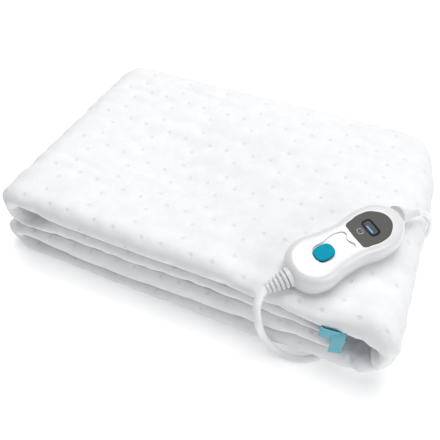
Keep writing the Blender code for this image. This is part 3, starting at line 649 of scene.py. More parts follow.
def lift(x, y, z):
    off_x = max(abs(x - LIFT_CENTRE[0]) - LIFT_LEVEL[0], 0.0)
    off_y = max(abs(y - LIFT_CENTRE[1]) - LIFT_LEVEL[1], 0.0)
    share = 1 - ease(math.hypot(off_x, off_y) / LIFT_SLOPE)
    height = min(max(z / STACK_HEIGHT, 0.0), 1.0)
    return z + LIFT_HEIGHT * share * (1 - height) ** LIFT_POWER


def press(x, y, z):
    along = HANDSET_FRAME.col[0].xy.normalized()
    up = HANDSET_FRAME.col[2].xyz
    offset = Vector((x, y)) - HANDSET_SEAT.xy
    underside = HANDSET_SEAT.z - up.xy.dot(offset) / up.z - CLEARANCE
    run_along = min(max(offset.dot(along), PRESS_REACH[0]), PRESS_REACH[1])
    away = max((offset - along * run_along).length - PRESS_HALF_WIDTH, 0.0)
    top = STACK_HEIGHT - sag(x, y)
    depth = max(top - underside, 0.0) * (1 - ease(away / PRESS_SLOPE))
    height = min(max(z / (top - CLOTH), 0.0), 1.0)
    return z - depth * height ** PRESS_POWER


# %% [markdown]
# The two fleeces are welded together at small points.  On the cloth they form a square pattern
# with a side of two inches: a pair of points side by side at each corner, and a pair one over
# the other in each middle.  Every point pulls the fleece in, and the heating wire between
# them raises a soft ridge.  The wide, shallow part of that relief is real geometry, and the
# small weld itself is left to the finish.  The folding has also left a few soft creases on the
# top and small crumples in the turn at the right.

# %% Relief of the cloth
PATTERN = 0.0508
PAIR_HALF = 0.0102
PATTERN_START = (-0.0295, -0.0047)
DIMPLE_REACH = 0.0060
DIMPLE_DEPTH = 0.0012
RIDGE_HEIGHT = 0.0004
PUCKER_HEIGHT = 0.0011
PUCKER_SCALE = (14, 42)
RIDGE_SWAY = 0.0015
SWAYS_PER_METRE = 30


def to_nearest(value, spot):
    """Signed distance from a value to the nearest repeat of the pattern at spot."""
    return (value - spot + PATTERN / 2) % PATTERN - PATTERN / 2


def to_weld(u, v):
    half = PATTERN / 2
    side = math.hypot(
        abs(to_nearest(u, PATTERN_START[0])) - PAIR_HALF,
        to_nearest(v, PATTERN_START[1]),
    )
    over = math.hypot(
        to_nearest(u, PATTERN_START[0] + half),
        abs(to_nearest(v, PATTERN_START[1] + half)) - PAIR_HALF,
    )
    return min(side, over)


def relief(u, v):
    """How far the fleece stands out at a place on the cloth."""
    dimple = -DIMPLE_DEPTH * math.exp(-((to_weld(u, v) / DIMPLE_REACH) ** 2))
    swayed = v + RIDGE_SWAY * math.sin(u * SWAYS_PER_METRE)
    ridge = RIDGE_HEIGHT * math.cos(4 * math.pi * swayed / PATTERN)
    spot = Vector((u * PUCKER_SCALE[0], v * PUCKER_SCALE[1], 0.0))
    pucker = PUCKER_HEIGHT * noise.noise(spot)
    return dimple + ridge + pucker


# A crease fades out over reach_x and reach_y from its middle.  Its waves run nearly along X.
Crease = namedtuple("Crease", "x y reach_x reach_y spacing height")
TOP_CREASES = (
    Crease(0.140, 0.075, 0.050, 0.040, 0.023, 0.0011),
    Crease(-0.075, 0.104, 0.050, 0.014, 0.017, 0.0011),
    Crease(-0.115, -0.056, 0.075, 0.010, 0.016, 0.0009),
    Crease(-0.150, 0.066, 0.050, 0.018, 0.020, 0.0009),
)
CRUMPLE_MIDDLE = Vector((0.172, -0.112, 0.046))
CRUMPLE_REACH = (0.022, 0.030, 0.026)
CRUMPLE_SPACING = 0.0105
CRUMPLE_HEIGHT = 0.0017
TOP_FROM = 0.060
TOP_SLANT = 0.12
CRUMPLE_SLANT = Vector((1.0, 0.3, 0.45))


def waves(slant, spacing):
    return math.cos(2 * math.pi * slant / spacing)


def creases(place):
    """Waves of the creases at a place in space, standing out of the cloth."""
    rise = 0.0
    if place.z > TOP_FROM:
        for crease in TOP_CREASES:
            far = ((place.x - crease.x) / crease.reach_x) ** 2
            far += ((place.y - crease.y) / crease.reach_y) ** 2
            slant = place.y - crease.y + TOP_SLANT * (place.x - crease.x)
            rise += crease.height * math.exp(-far) * waves(slant, crease.spacing)
    offset = place - CRUMPLE_MIDDLE
    far = sum((part / reach) ** 2 for part, reach in zip(offset, CRUMPLE_REACH))
    slant = CRUMPLE_SLANT.dot(offset)
    return rise + CRUMPLE_HEIGHT * math.exp(-far) * waves(slant, CRUMPLE_SPACING)


# %% [markdown]
# One grid primitive becomes the whole sheet: its columns are the sections of the strip and its
# rows are the places across it.  The lengths along the rows and columns are kept as the UV
# map, so the finish can work in metres of cloth.

# %% The sheet itself
across = len(strip_profile(0.01, 0.0))
deselect_all()
columns, rows = len(strip) - 1, across - 1
bpy.ops.mesh.primitive_grid_add(x_subdivisions=columns, y_subdivisions=rows, size=2.0)
blanket = bpy.context.object
blanket.name = "fleece_blanket"
cell_of = [
    (round((v.co.x + 1) / 2 * columns), round((v.co.y + 1) / 2 * rows))
    for v in blanket.data.vertices
]
vertex_at = {cell: index for index, cell in enumerate(cell_of)}
profiles = [strip_profile(nose, setback) for at, nose, setback in strip]
for vertex, (column, row) in zip(blanket.data.vertices, cell_of):
    y, ply = profiles[column][row]
    x, z = strip[column][0](ply)
    x, y = round_corner(x, y)
    z -= sag(x, y) * (z - CLOTH / 2) / (STACK_HEIGHT - CLOTH / 2)
    vertex.co = (x, y, press(x, y, lift(x, y, z)))
blanket.data.update()


def place_of(column, row):
    return blanket.data.vertices[vertex_at[column, row]].co


# Lengths of cloth: u along the strip from x = 0 on the top, v across it from the front edge
# of the top.  The middle of the front fold measures u for a whole section.
crown = FREE_ROWS + FRONT_FOLD_SECTIONS
fold_row = FREE_ROWS + FRONT_FOLD_SECTIONS // 2
middle = top_run_start + round(-RUN_START / FINE_STEP)
u_of = {middle: 0.0}
for side, past in ((1, range(middle + 1, columns + 1)), (-1, range(middle - 1, -1, -1))):
    for column in past:
        step = (place_of(column, fold_row) - place_of(column - side, fold_row)).length
        u_of[column] = u_of[column - side] + side * step
v_of = {(column, crown): 0.0 for column in range(columns + 1)}
for side, past in ((1, range(crown + 1, rows + 1)), (-1, range(crown - 1, -1, -1))):
    for column in range(columns + 1):
        for row in past:
            step = (place_of(column, row) - place_of(column, row - side)).length
            v_of[column, row] = v_of[column, row - side] + side * step

cloth_map = blanket.data.uv_layers.new(name="cloth")
for loop in blanket.data.loops:
    cell = cell_of[loop.vertex_index]
    cloth_map.data[loop.index].uv = (u_of[cell[0]], v_of[cell])

ABOVE_FLOOR = 0.00005
outward = [v.normal.copy() for v in blanket.data.vertices]
turned_in = 1 if outward[vertex_at[middle, crown + 20]].z > 0 else -1
for index, vertex in enumerate(blanket.data.vertices):
    cell = cell_of[index]
    rise = relief(u_of[cell[0]], v_of[cell]) + creases(vertex.co)
    vertex.co += outward[index] * turned_in * rise
    vertex.co.z = max(vertex.co.z, CLOTH / 2 + ABOVE_FLOOR)
wall = blanket.modifiers.new("thickness", "SOLIDIFY")
wall.thickness = CLOTH
wall.offset = 0.0
settle(blanket, 80)
report(blanket)

# %% [markdown]
# Short-pile fleece has no clear weave: one sees a fine fuzz of fibre ends, a soft uneven
# surface, and the small welds where the fleeces are pressed flat.  A bump could be painted with
# one noise, but pile has two sizes of unevenness, so two noises are stacked: the fibre ends,
# and the tufts that they bunch into.  The welds are worked out from the cloth's UV map, which
# is in metres, so they fall exactly on the dimples.  A little sheen gives the pale edge that
# fibres show where the cloth turns away.

# %% Finish of the fleece
fleece = finish(
    "white_fleece_pile",
    (0.90, 0.90, 0.905),
    0.95,
    Sheen_Weight=0.06,
    Sheen_Roughness=0.6,
    Specular_IOR_Level=0.15,
)


def pattern_offset(made, value, start):
    """Distance in metres from a UV value to the nearest repeat of the pattern at start."""
    moved = arithmetic(made, "ADD", value, PATTERN / 2 - start + 100 * PATTERN)
    wrapped = arithmetic(made, "MODULO", moved, PATTERN)
    return arithmetic(made, "ABSOLUTE", arithmetic(made, "SUBTRACT", wrapped, PATTERN / 2))


def distance_of(made, first, second):
    squares = [arithmetic(made, "MULTIPLY", value, value) for value in (first, second)]
    return arithmetic(made, "SQRT", arithmetic(made, "ADD", *squares))


def weld_distance(made):
    """Distance in metres to the nearest weld, read from the cloth's UV map."""
    parts = node(made, "ShaderNodeSeparateXYZ")
    cloth_uv = node(made, "ShaderNodeUVMap", uv_map="cloth")
    link(made, cloth_uv.outputs["UV"], parts.inputs["Vector"])
    u, v = parts.outputs["X"], parts.outputs["Y"]
    half = PATTERN / 2
    beside = arithmetic(made, "SUBTRACT", pattern_offset(made, u, PATTERN_START[0]), PAIR_HALF)
    side = distance_of(made, beside, pattern_offset(made, v, PATTERN_START[1]))
    above = arithmetic(
        made, "SUBTRACT", pattern_offset(made, v, PATTERN_START[1] + half), PAIR_HALF
    )
    over = distance_of(made, pattern_offset(made, u, PATTERN_START[0] + half), above)
    return arithmetic(made, "MINIMUM", side, over)


WELD_RADIUS = 0.0012
WELD_EDGE = 0.0026
WELD_TINT = (0.80, 0.805, 0.82, 1.0)
weld_field = weld_distance(fleece)
weld_step = node(fleece, "ShaderNodeMapRange", interpolation_type="SMOOTHSTEP")
for socket, value in zip(weld_step.inputs[1:5], (WELD_RADIUS, WELD_EDGE, 0.0, 1.0)):
    socket.default_value = value
link(fleece, weld_field, weld_step.inputs["Value"])
tufts = bump(fleece, mottle(fleece, 260.0, 4.0, 0.65), 0.0006, 0.55)
fibres = bump(fleece, mottle(fleece, 1300.0, 2.0, 0.7), 0.0003, 0.6, tufts)
bump(fleece, weld_step.outputs["Result"], 0.0006, 0.7, fibres)
tint = node(fleece, "ShaderNodeMix", data_type="RGBA")
tint.inputs[6].default_value = WELD_TINT
link(fleece, weld_step.outputs["Result"], tint.inputs["Factor"])
link(
    fleece,
    ramp(fleece, mottle(fleece, 60.0), 0.35, 0.70, (0.845, 0.85, 0.865), (0.895, 0.90, 0.91)),
    tint.inputs[7],
)
# Painted shade: an occlusion mask of the cloth alone darkens the base colour deep in its folds.
PAINTED_SHADE_REACH = 0.010
folds = node(fleece, "ShaderNodeAmbientOcclusion", samples=8, only_local=True)
folds.inputs["Distance"].default_value = PAINTED_SHADE_REACH
painted_fold_shade = ramp(fleece, folds.outputs["AO"], 0.10, 0.62, (0.46, 0.465, 0.49), (1.0, 1.0, 1.0))
shaded = node(fleece, "ShaderNodeMix", data_type="RGBA", blend_type="MULTIPLY")
shaded.inputs["Factor"].default_value = 1.0
link(fleece, tint.outputs[2], shaded.inputs[6])
link(fleece, painted_fold_shade, shaded.inputs[7])
link(fleece, shaded.outputs[2], shader_of(fleece).inputs["Base Color"])
dress(blanket, fleece)

# %% [markdown]
# The hand control is made of two injection-moulded shells that meet at a parting line, a third
# of the way up.  Its outline is the same on both sides of its axis: wide at both ends, with a
# waist.  It is modelled flat at the origin, where along is +X, and then laid on the stack.

# %% Outline of the hand control
SHELL_HALF = (
    (-0.0600, 0.0), (-0.0540, 0.0168), (-0.0385, 0.0245), (-0.0150, 0.0222),
    (0.0020, 0.0213), (0.0290, 0.0243), (0.0480, 0.0193), (0.0600, 0.0),
)
PANEL_HALF = (
    (0.0056, 0.0), (0.0060, 0.0118), (0.0150, 0.0148),
    (0.0250, 0.0158), (0.0370, 0.0124), (0.0450, 0.0),
)
DISH_HALF = (
    (-0.0378, 0.0), (-0.0345, 0.0095), (-0.0200, 0.0128),
    (-0.0040, 0.0142), (0.0018, 0.0105), (0.0028, 0.0),
)


def grown(half, by):
    """The same half outline, wider and longer by a small amount."""
    middle = [(along, across + by) for along, across in half[1:-1]]
    return [(half[0][0] - by, 0.0), *middle, (half[-1][0] + by, 0.0)]


OUTLINE_STEPS = 12


def outline_face(name, half, height, square_end=False):
    """One flat face with a smooth outline, drawn with a Bezier curve and made a mesh."""
    drawn = bpy.data.curves.new(name, "CURVE")
    drawn.dimensions = "2D"
    drawn.fill_mode = "NONE"
    drawn.resolution_u = OUTLINE_STEPS
    line = drawn.splines.new("BEZIER")
    places = list(half) + [(along, -across) for along, across in half[-2:0:-1]]
    line.bezier_points.add(len(places) - 1)
    line.use_cyclic_u = True
    for knot, place in zip(line.bezier_points, places):
        knot.co = (*place, 0.0)
        knot.handle_left_type = knot.handle_right_type = "AUTO"
    if square_end:
        near_end = line.bezier_points[0]
        near_end.handle_left_type = near_end.handle_right_type = "VECTOR"
        line.bezier_points[1].handle_left_type = "VECTOR"
        line.bezier_points[-1].handle_right_type = "VECTOR"
    thing = placed(name, drawn)
    thing.location.z = height
    only(thing)
    bpy.ops.object.convert(target="MESH")
    bpy.ops.object.transform_apply(location=True)
    edit()
    bpy.ops.mesh.select_all(action="SELECT")
    bpy.ops.mesh.edge_face_add()
    leave()
    face = thing.data.polygons[0]
    if face.normal.z < 0:
        face.flip()
    return thing


# %% [markdown]
# A moulded shell could be a box with a bevel, but its edge is not one radius: the wall leans in
# slowly and then turns over to the flat top.  So the outline face is extruded once for the
# straight wall, and then inset again and again, each time a little further in and a little
# less high, which is how the profile of such an edge is drawn.

# %% Raising a face in steps
def raise_face(thing, wall, steps):
    """Extrude the one face by wall, then inset it by (inwards, upwards) steps; close it."""
    only(thing)
    edit()
    bpy.ops.mesh.select_mode(type="FACE")
    bpy.ops.mesh.select_all(action="SELECT")
    bpy.ops.mesh.extrude_region_move(TRANSFORM_OT_translate={"value": (0.0, 0.0, wall)})
    for inwards, upwards in steps:
        bpy.ops.mesh.inset(thickness=inwards, depth=upwards)
    bpy.ops.mesh.select_mode(type="VERT")
    bpy.ops.mesh.select_all(action="DESELECT")
    bpy.ops.mesh.select_non_manifold()
    if any(vertex.select for vertex in bmesh.from_edit_mesh(thing.data).verts):
        bpy.ops.mesh.edge_face_add()
    leave()
    return weld(thing, 0.000002)


TOP = 0.0220
PARTING = 0.0070
SEAM = 0.0003
UPPER_STEPS = (
    (0.0002, 0.0027), (0.0005, 0.0025), (0.0008, 0.0022), (0.0011, 0.0018),
    (0.0014, 0.0014), (0.0016, 0.0009), (0.0018, 0.0004),
)
upper_shell = outline_face("handset_upper_shell", SHELL_HALF, PARTING + SEAM / 2)
upper_wall = TOP - PARTING - SEAM / 2 - sum(up for inwards, up in UPPER_STEPS)
raise_face(upper_shell, upper_wall, UPPER_STEPS)
LOWER_STEPS = (
    (0.0001, 0.0020), (0.0005, 0.0016), (0.0011, 0.0011), (0.0016, 0.0007), (0.0020, 0.0003),
)
lower_shell = outline_face("handset_lower_shell", SHELL_HALF, 0.0)
lower_wall = PARTING - SEAM / 2 - sum(up for inwards, up in LOWER_STEPS)
raise_face(lower_shell, lower_wall, LOWER_STEPS)
only(lower_shell)
lower_shell.matrix_world = (
    Matrix.Translation((0.0, 0.0, PARTING - SEAM / 2)) @ Matrix.Rotation(math.pi, 4, "X")
)
bpy.ops.object.transform_apply(location=True, rotation=True)

# %% [markdown]
# The top has two hollows: a shallow dish that the button slides in, and a flat pocket for the
# grey panel.  Both are cut with a solid of their own outline.  A tool with upright sides would
# leave a hard wall, so each tool widens or narrows in steps, and the dish gets sloped sides.

# %% Dish and pocket in the upper shell
def cut_away(thing, tool):
    only(thing)
    step = thing.modifiers.new("cut", "BOOLEAN")
    step.operation = "DIFFERENCE"
    step.solver = "EXACT"
    step.object = tool
    bpy.ops.object.modifier_apply(modifier=step.name)
    bpy.data.objects.remove(tool, do_unlink=True)


DISH_DEPTH = 0.0014
DISH_SMALLER = 0.0036
DISH_STEPS = ((-0.0012, 0.0002), (-0.0016, 0.0005), (-0.0016, 0.0007), (-0.0010, 0.0006))
POCKET_DEPTH = 0.0012
POCKET_GAP = 0.0002
dish_tool = outline_face("dish_tool", grown(DISH_HALF, -DISH_SMALLER), TOP - DISH_DEPTH)
raise_face(dish_tool, 0.00002, DISH_STEPS)
cut_away(upper_shell, dish_tool)
pocket_half = grown(PANEL_HALF, POCKET_GAP)
pocket_tool = outline_face("pocket_tool", pocket_half, TOP - POCKET_DEPTH, square_end=True)
raise_face(pocket_tool, 0.0011, ((-0.0005, 0.0003), (-0.0004, 0.0010)))
cut_away(upper_shell, pocket_tool)

# %% [markdown]
# The white plastic is ABS with a fine spark texture: softly glossy, never quite flat, and a
# touch cooler than paper.  Two noises do it, one for the moulding's slow ripple and one for
# the texture.

# %% Finish of the shells
shell_white = finish("handset_white_abs", (0.76, 0.765, 0.775), 0.26, Coat_Weight=0.25)
shader_of(shell_white).inputs["Coat Roughness"].default_value = 0.12
tinted(
    shell_white, mottle(shell_white, 90.0, 2.0), 0.3, 0.8, (0.755, 0.76, 0.77), (0.785, 0.79, 0.80)
)
ripple = bump(shell_white, mottle(shell_white, 55.0, 2.0), 0.0003, 0.20)
bump(shell_white, mottle(shell_white, 2600.0, 2.0), 0.00004, 0.35, ripple)


def seat(thing, *materials, degrees=32):
    """Lay a piece that was made in the hand control's own frame on the stack.

    Its faces may already name their material slots, and they keep them.
    """
    slots = [face.material_index for face in thing.data.polygons]
    dress(thing, *materials)
    thing.matrix_world = HANDSET_FRAME
    settle(thing, degrees)
    for face, slot in zip(thing.data.polygons, slots):
        face.material_index = slot
    report(thing)


seat(upper_shell, shell_white)
seat(lower_shell, shell_white)

# %% [markdown]
# The panel is a dark grey label plate that lies in the pocket with a fine gap around it.  Its
# finish is a satin metallic paint, so it has tiny sparkling grain.

# %% Display panel
panel = outline_face("display_plate", PANEL_HALF, TOP - 0.0010, square_end=True)
raise_face(panel, 0.0006, ((0.0003, 0.0002),))
panel_grey = finish("panel_satin_grey", (0.085, 0.085, 0.080), 0.5, Specular_IOR_Level=0.3)
panel_grain = mottle(panel_grey, 1500.0, 2.0, 0.8)
tinted(panel_grey, panel_grain, 0.35, 0.75, (0.070, 0.070, 0.067), (0.105, 0.105, 0.098))
bump(panel_grey, mottle(panel_grey, 2200.0, 2.0), 0.00003, 0.3)
PANEL_TOP = TOP - 0.0002
seat(panel, panel_grey)

# %% [markdown]
# The window is a black bezel with clipped corners round a darker, glossy glass, and one bar
# behind the glass is lit.  A cube is flattened and its upright edges are bevelled; the top is
# inset and pushed down for the bezel, so that the glass sits in it.

# %% Window
WINDOW_PLACE = (0.0242, 0.0)
WINDOW_LONG = (0.0105, 0.0174)
WINDOW_CORNER = 0.0034
WINDOW_HALF_HEIGHT = 0.0004
BEZEL_STEPS = ((0.0003, 0.0001), (0.0011, 0.0), (0.0004, -0.0004))
CLIP_SEGMENTS = 3


def clipped_plate(name, place, size, corner, low, high):
    deselect_all()
    middle = (place[0], place[1], (low + high) / 2)
    bpy.ops.mesh.primitive_cube_add(size=1.0, location=middle)
    plate = bpy.context.object
    plate.name = name
    plate.scale = (size[0], size[1], high - low)
    bpy.ops.object.transform_apply(location=True, rotation=False, scale=True)
    edit()
    bpy.ops.mesh.select_mode(type="EDGE")
    bpy.ops.mesh.select_all(action="DESELECT")
    edges = bmesh.from_edit_mesh(plate.data).edges
    for edge in edges:
        edge.select = abs(edge.verts[0].co.z - edge.verts[1].co.z) > 0.00001
    bpy.ops.mesh.bevel(offset=corner, segments=CLIP_SEGMENTS, affect="EDGES")
    bpy.ops.mesh.select_mode(type="FACE")
    bpy.ops.mesh.select_all(action="DESELECT")
    faces = bmesh.from_edit_mesh(plate.data).faces
    for face in faces:
        face.select = face.normal.z > 0.9
    return plate


window = clipped_plate(
    "display_bezel",
    WINDOW_PLACE,
    WINDOW_LONG,
    WINDOW_CORNER,
    PANEL_TOP - WINDOW_HALF_HEIGHT,
    PANEL_TOP + WINDOW_HALF_HEIGHT,
)
for inwards, upwards in BEZEL_STEPS:
    bpy.ops.mesh.inset(thickness=inwards, depth=upwards)
bpy.ops.object.material_slot_add()
bpy.ops.object.material_slot_add()
window.active_material_index = 1
bpy.ops.object.material_slot_assign()
leave()
bezel_black = finish("bezel_black", (0.008, 0.008, 0.009), 0.45, Specular_IOR_Level=0.15)
bump(bezel_black, mottle(bezel_black, 1800.0, 2.0), 0.00003, 0.3)
glass_dark = finish("display_glass", (0.010, 0.022, 0.045), 0.15, Specular_IOR_Level=0.22)
glass_depth = mottle(glass_dark, 220.0, 1.0)
tinted(glass_dark, glass_depth, 0.35, 0.7, (0.008, 0.018, 0.038), (0.016, 0.036, 0.072))

seat(window, bezel_black, glass_dark)

# %% Lit bar
BAR_PLACE, BAR_LONG, BAR_CORNER = (0.0222, -0.0010), (0.0016, 0.0084), 0.0005
BAR_LEVELS = (PANEL_TOP + 0.0001, PANEL_TOP + 0.0003)
lit_bar = clipped_plate("display_bar", BAR_PLACE, BAR_LONG, BAR_CORNER, *BAR_LEVELS)
leave()
bar_blue = finish("lit_bar_blue", (0.12, 0.30, 0.52), 0.35, Emission_Strength=0.10)
shader_of(bar_blue).inputs["Emission Color"].default_value = (0.16, 0.42, 0.80, 1.0)
tinted(
    bar_blue, mottle(bar_blue, 700.0, 2.0), 0.3, 0.7, (0.10, 0.26, 0.46), (0.15, 0.36, 0.60)
)
seat(lit_bar, bar_blue)

# %% [markdown]
# A power sign is printed on the panel beside the window: a ring with a gap and a short stroke
# in the gap.  A printed mark is a very thin layer, so the ring is a circle whose edges are
# extruded outwards, with the faces in the gap deleted, and it gets a hair of thickness.

# %% Power sign
SIGN_PLACE = (0.0140, 0.0018)
SIGN_RADIUS = (0.0024, 0.0030)
SIGN_GAP = math.radians(32)
PRINT_THICKNESS = 0.00006
PRINT_LEVEL = PANEL_TOP + 0.00002

deselect_all()
bpy.ops.mesh.primitive_circle_add(
    vertices=48, radius=SIGN_RADIUS[0], location=(*SIGN_PLACE, PRINT_LEVEL)
)
power_sign = bpy.context.object
power_sign.name = "power_sign"
edit()
bpy.ops.mesh.select_all(action="SELECT")
bpy.ops.mesh.extrude_edges_move()
share = SIGN_RADIUS[1] / SIGN_RADIUS[0]
bpy.ops.transform.resize(value=(share, share, 1.0))
bpy.ops.mesh.select_mode(type="FACE")
bpy.ops.mesh.select_all(action="DESELECT")
for face in bmesh.from_edit_mesh(power_sign.data).faces:
    middle = face.calc_center_median()
    face.select = abs(math.atan2(middle.y, middle.x)) < SIGN_GAP
bpy.ops.mesh.delete(type="FACE")
bpy.ops.mesh.primitive_plane_add(
    size=0.001, location=(SIGN_PLACE[0] + SIGN_RADIUS[0], SIGN_PLACE[1], PRINT_LEVEL)
)
bpy.ops.transform.resize(value=(2.0, 0.55, 1.0))
bpy.ops.mesh.select_all(action="SELECT")
bpy.ops.mesh.normals_make_consistent(inside=False)
leave()
bpy.ops.object.transform_apply(location=True)
ink = power_sign.modifiers.new("ink", "SOLIDIFY")
ink.thickness = PRINT_THICKNESS
ink.offset = 0.0
bpy.ops.object.modifier_apply(modifier=ink.name)
print_grey = finish("printed_light_grey", (0.42, 0.42, 0.41), 0.5)
tinted(
    print_grey, mottle(print_grey, 900.0, 2.0), 0.3, 0.7, (0.34, 0.34, 0.33), (0.48, 0.48, 0.47)
)
seat(power_sign, print_grey)

# %% [markdown]
# The button is a plump oval of clear blue plastic that slides 14 mm towards the panel.  It is
# neither a circle nor a box: its ends are flatter than an ellipse.  A circle is squared a
# little by moving its corners out, raised in inset steps like the shells, and its top is then
# pressed in for the thumb.

# %% Button
BUTTON_PLACE = -0.0262
BUTTON_LONG = (0.0195, 0.0146)
BUTTON_FOOT = TOP - DISH_DEPTH + 0.0003
BUTTON_STEPS = (
    (0.0002, 0.0007), (0.0004, 0.0005), (0.0007, 0.0003), (0.0010, 0.0001), (0.0012, -0.0001),
    (0.0016, -0.0002),
)
BUTTON_WALL = 0.0013
SQUARING = 2.6

deselect_all()
bpy.ops.mesh.primitive_circle_add(vertices=64, radius=1.0, fill_type="NGON")
slider = bpy.context.object
slider.name = "slide_button"
for vertex in slider.data.vertices:
    angle = math.atan2(vertex.co.y, vertex.co.x)
    spread = abs(math.cos(angle)) ** SQUARING + abs(math.sin(angle)) ** SQUARING
    reach = spread ** (-1 / SQUARING)
    vertex.co.x = BUTTON_PLACE + reach * math.cos(angle) * BUTTON_LONG[0] / 2
    vertex.co.y = reach * math.sin(angle) * BUTTON_LONG[1] / 2
    vertex.co.z = BUTTON_FOOT
raise_face(slider, BUTTON_WALL, BUTTON_STEPS)
button_blue = finish("button_blue", (0.0, 0.30, 0.44), 0.45, Specular_IOR_Level=0.05)
tinted(
    button_blue, mottle(button_blue, 160.0, 2.0), 0.3, 0.7, (0.0, 0.29, 0.43), (0.002, 0.325, 0.47)
)
bump(button_blue, mottle(button_blue, 2400.0, 2.0), 0.00004, 0.35)
# The steep sides get a much darker copy of the same blue, as painted shade.
button_side_painted_shade = finish("button_blue_side_painted_shade", (0.0, 0.105, 0.165), 0.5, Specular_IOR_Level=0.12)
tinted(
    button_side_painted_shade, mottle(button_side_painted_shade, 300.0, 2.0), 0.3, 0.7, (0.0, 0.09, 0.145), (0.0, 0.13, 0.19)
)
for face in slider.data.polygons:
    face.material_index = 1 if face.normal.z < 0.5 else 0
seat(slider, button_blue, button_side_painted_shade, degrees=50)

# %% [markdown]
# Both leads leave the hand control through soft PVC strain reliefs.  The front one is ribbed,
# so that it can bend: five rings with narrow waists, each ring smaller than the last.  The back
# one is a smooth trumpet.  A turned piece can be made by spinning its profile; here a circle is
# extruded up and resized for each point of the profile, which keeps every ring a clean loop.

# %% Turned pieces
FACETS = 48
TRUMPET_STEPS = 14


def turned_up(name, profile):
    """Extrude a round face up and resize it for each (radius, height) of a profile."""
    deselect_all()
    radius, height = profile[0]
    bpy.ops.mesh.primitive_circle_add(
        vertices=FACETS, radius=radius, fill_type="NGON", location=(0.0, 0.0, height)
    )
    thing = bpy.context.object
    thing.name = name
    edit()
    bpy.ops.mesh.select_all(action="SELECT")
    for wide, high in profile[1:]:
        bpy.ops.mesh.extrude_region_move(
            TRANSFORM_OT_translate={"value": (0.0, 0.0, high - height)}
        )
        bpy.ops.transform.resize(value=(wide / radius, wide / radius, 1.0))
        radius, height = wide, high
    leave()
    return weld(thing, 0.000002)


def stand_on(thing, root, tip):
    """Stand a turned piece on root so that it points at tip."""
    way = (tip - root).normalized()
    thing.matrix_world = (
        Matrix.Translation(root) @ way.to_track_quat("Z", "Y").to_matrix().to_4x4()
    )


def ribbed_profile(root_radius, tip_radius, length, ribs):
    profile = [(root_radius * 0.86, -0.0040), (root_radius, -0.0030), (root_radius, 0.0)]
    pitch = length / ribs
    for i in range(ribs):
        foot = i * pitch
        share = (i + 0.5) / ribs
        crest = root_radius + (tip_radius - root_radius) * share
        waist = crest * 0.76
        profile += [(waist, foot + pitch * 0.04), (waist * 0.985, foot + pitch * 0.30)]
        profile += [(crest * 0.97, foot + pitch * 0.36), (crest, foot + pitch * 0.46)]
        profile += [(crest * 0.985, foot + pitch * 0.88), (crest * 0.95, foot + pitch * 0.98)]
    profile += [(tip_radius * 0.86, length)]
    return profile


def trumpet_profile(root_radius, tip_radius, length, power=2.1):
    profile = [(root_radius * 1.02, -0.0030)]
    for i in range(TRUMPET_STEPS + 1):
        share = i / TRUMPET_STEPS
        flare = (root_radius - tip_radius) * (1 - share) ** power
        profile.append((tip_radius + flare, length * share))
    profile.append((tip_radius * 0.92, length + 0.0002))
    return profile


pvc_white = finish("relief_white_pvc", (0.72, 0.725, 0.735), 0.38)
tinted(
    pvc_white, mottle(pvc_white, 200.0, 3.0), 0.3, 0.75, (0.70, 0.705, 0.715), (0.75, 0.755, 0.765)
)
bump(pvc_white, mottle(pvc_white, 1400.0, 2.0), 0.00006, 0.4)

FRONT_RADII = (0.0088, 0.0046)
RIBS = 5
BACK_RADII = (0.0100, 0.0031)
BACK_POWER = 2.4
BACK_FOOT = BACK_ROOT - back_way * 0.0045
front_length = (FRONT_TIP - FRONT_ROOT).length
back_length = (BACK_TIP - BACK_FOOT).length
ribbed = turned_up("ribbed_relief", ribbed_profile(*FRONT_RADII, front_length, RIBS))
trumpet = turned_up("trumpet_relief", trumpet_profile(*BACK_RADII, back_length, BACK_POWER))
for relief_piece, root, tip in ((ribbed, FRONT_ROOT, FRONT_TIP), (trumpet, BACK_FOOT, BACK_TIP)):
    stand_on(relief_piece, root, tip)
    dress(relief_piece, pvc_white)
    settle(relief_piece, 50)
    report(relief_piece)

# %% [markdown]
# The ribbon that marks the side of the controls is a woven tape, sewn to the end of the second
# layer.  It comes out as a flat loop, lies a short way along the fold and then hangs down with
# its cut end free.  A tape bends in one direction only, so each run is a grid whose columns
# follow a line of points and whose rows go straight across; a wall thickness finishes it.

# %% Ribbon
TAPE_SPACING = 0.0006
TAPE_ROWS = 6
TAPE_THICKNESS = 0.0005


def tape(name, line, across):
    """A strip whose middle follows the line and whose width is the vector across."""
    points = through(line, TAPE_SPACING)
    steps = len(points) - 1
    deselect_all()
    bpy.ops.mesh.primitive_grid_add(x_subdivisions=steps, y_subdivisions=TAPE_ROWS, size=2.0)
    strip_piece = bpy.context.object
    strip_piece.name = name
    for vertex in strip_piece.data.vertices:
        column = round((vertex.co.x + 1) / 2 * steps)
        vertex.co = points[column] + Vector(across) * (vertex.co.y / 2)
    wall = strip_piece.modifiers.new("thickness", "SOLIDIFY")
    wall.thickness = TAPE_THICKNESS
    wall.offset = 0.0
    settle(strip_piece, 40)
    weld(strip_piece, 0.000001)
    return strip_piece


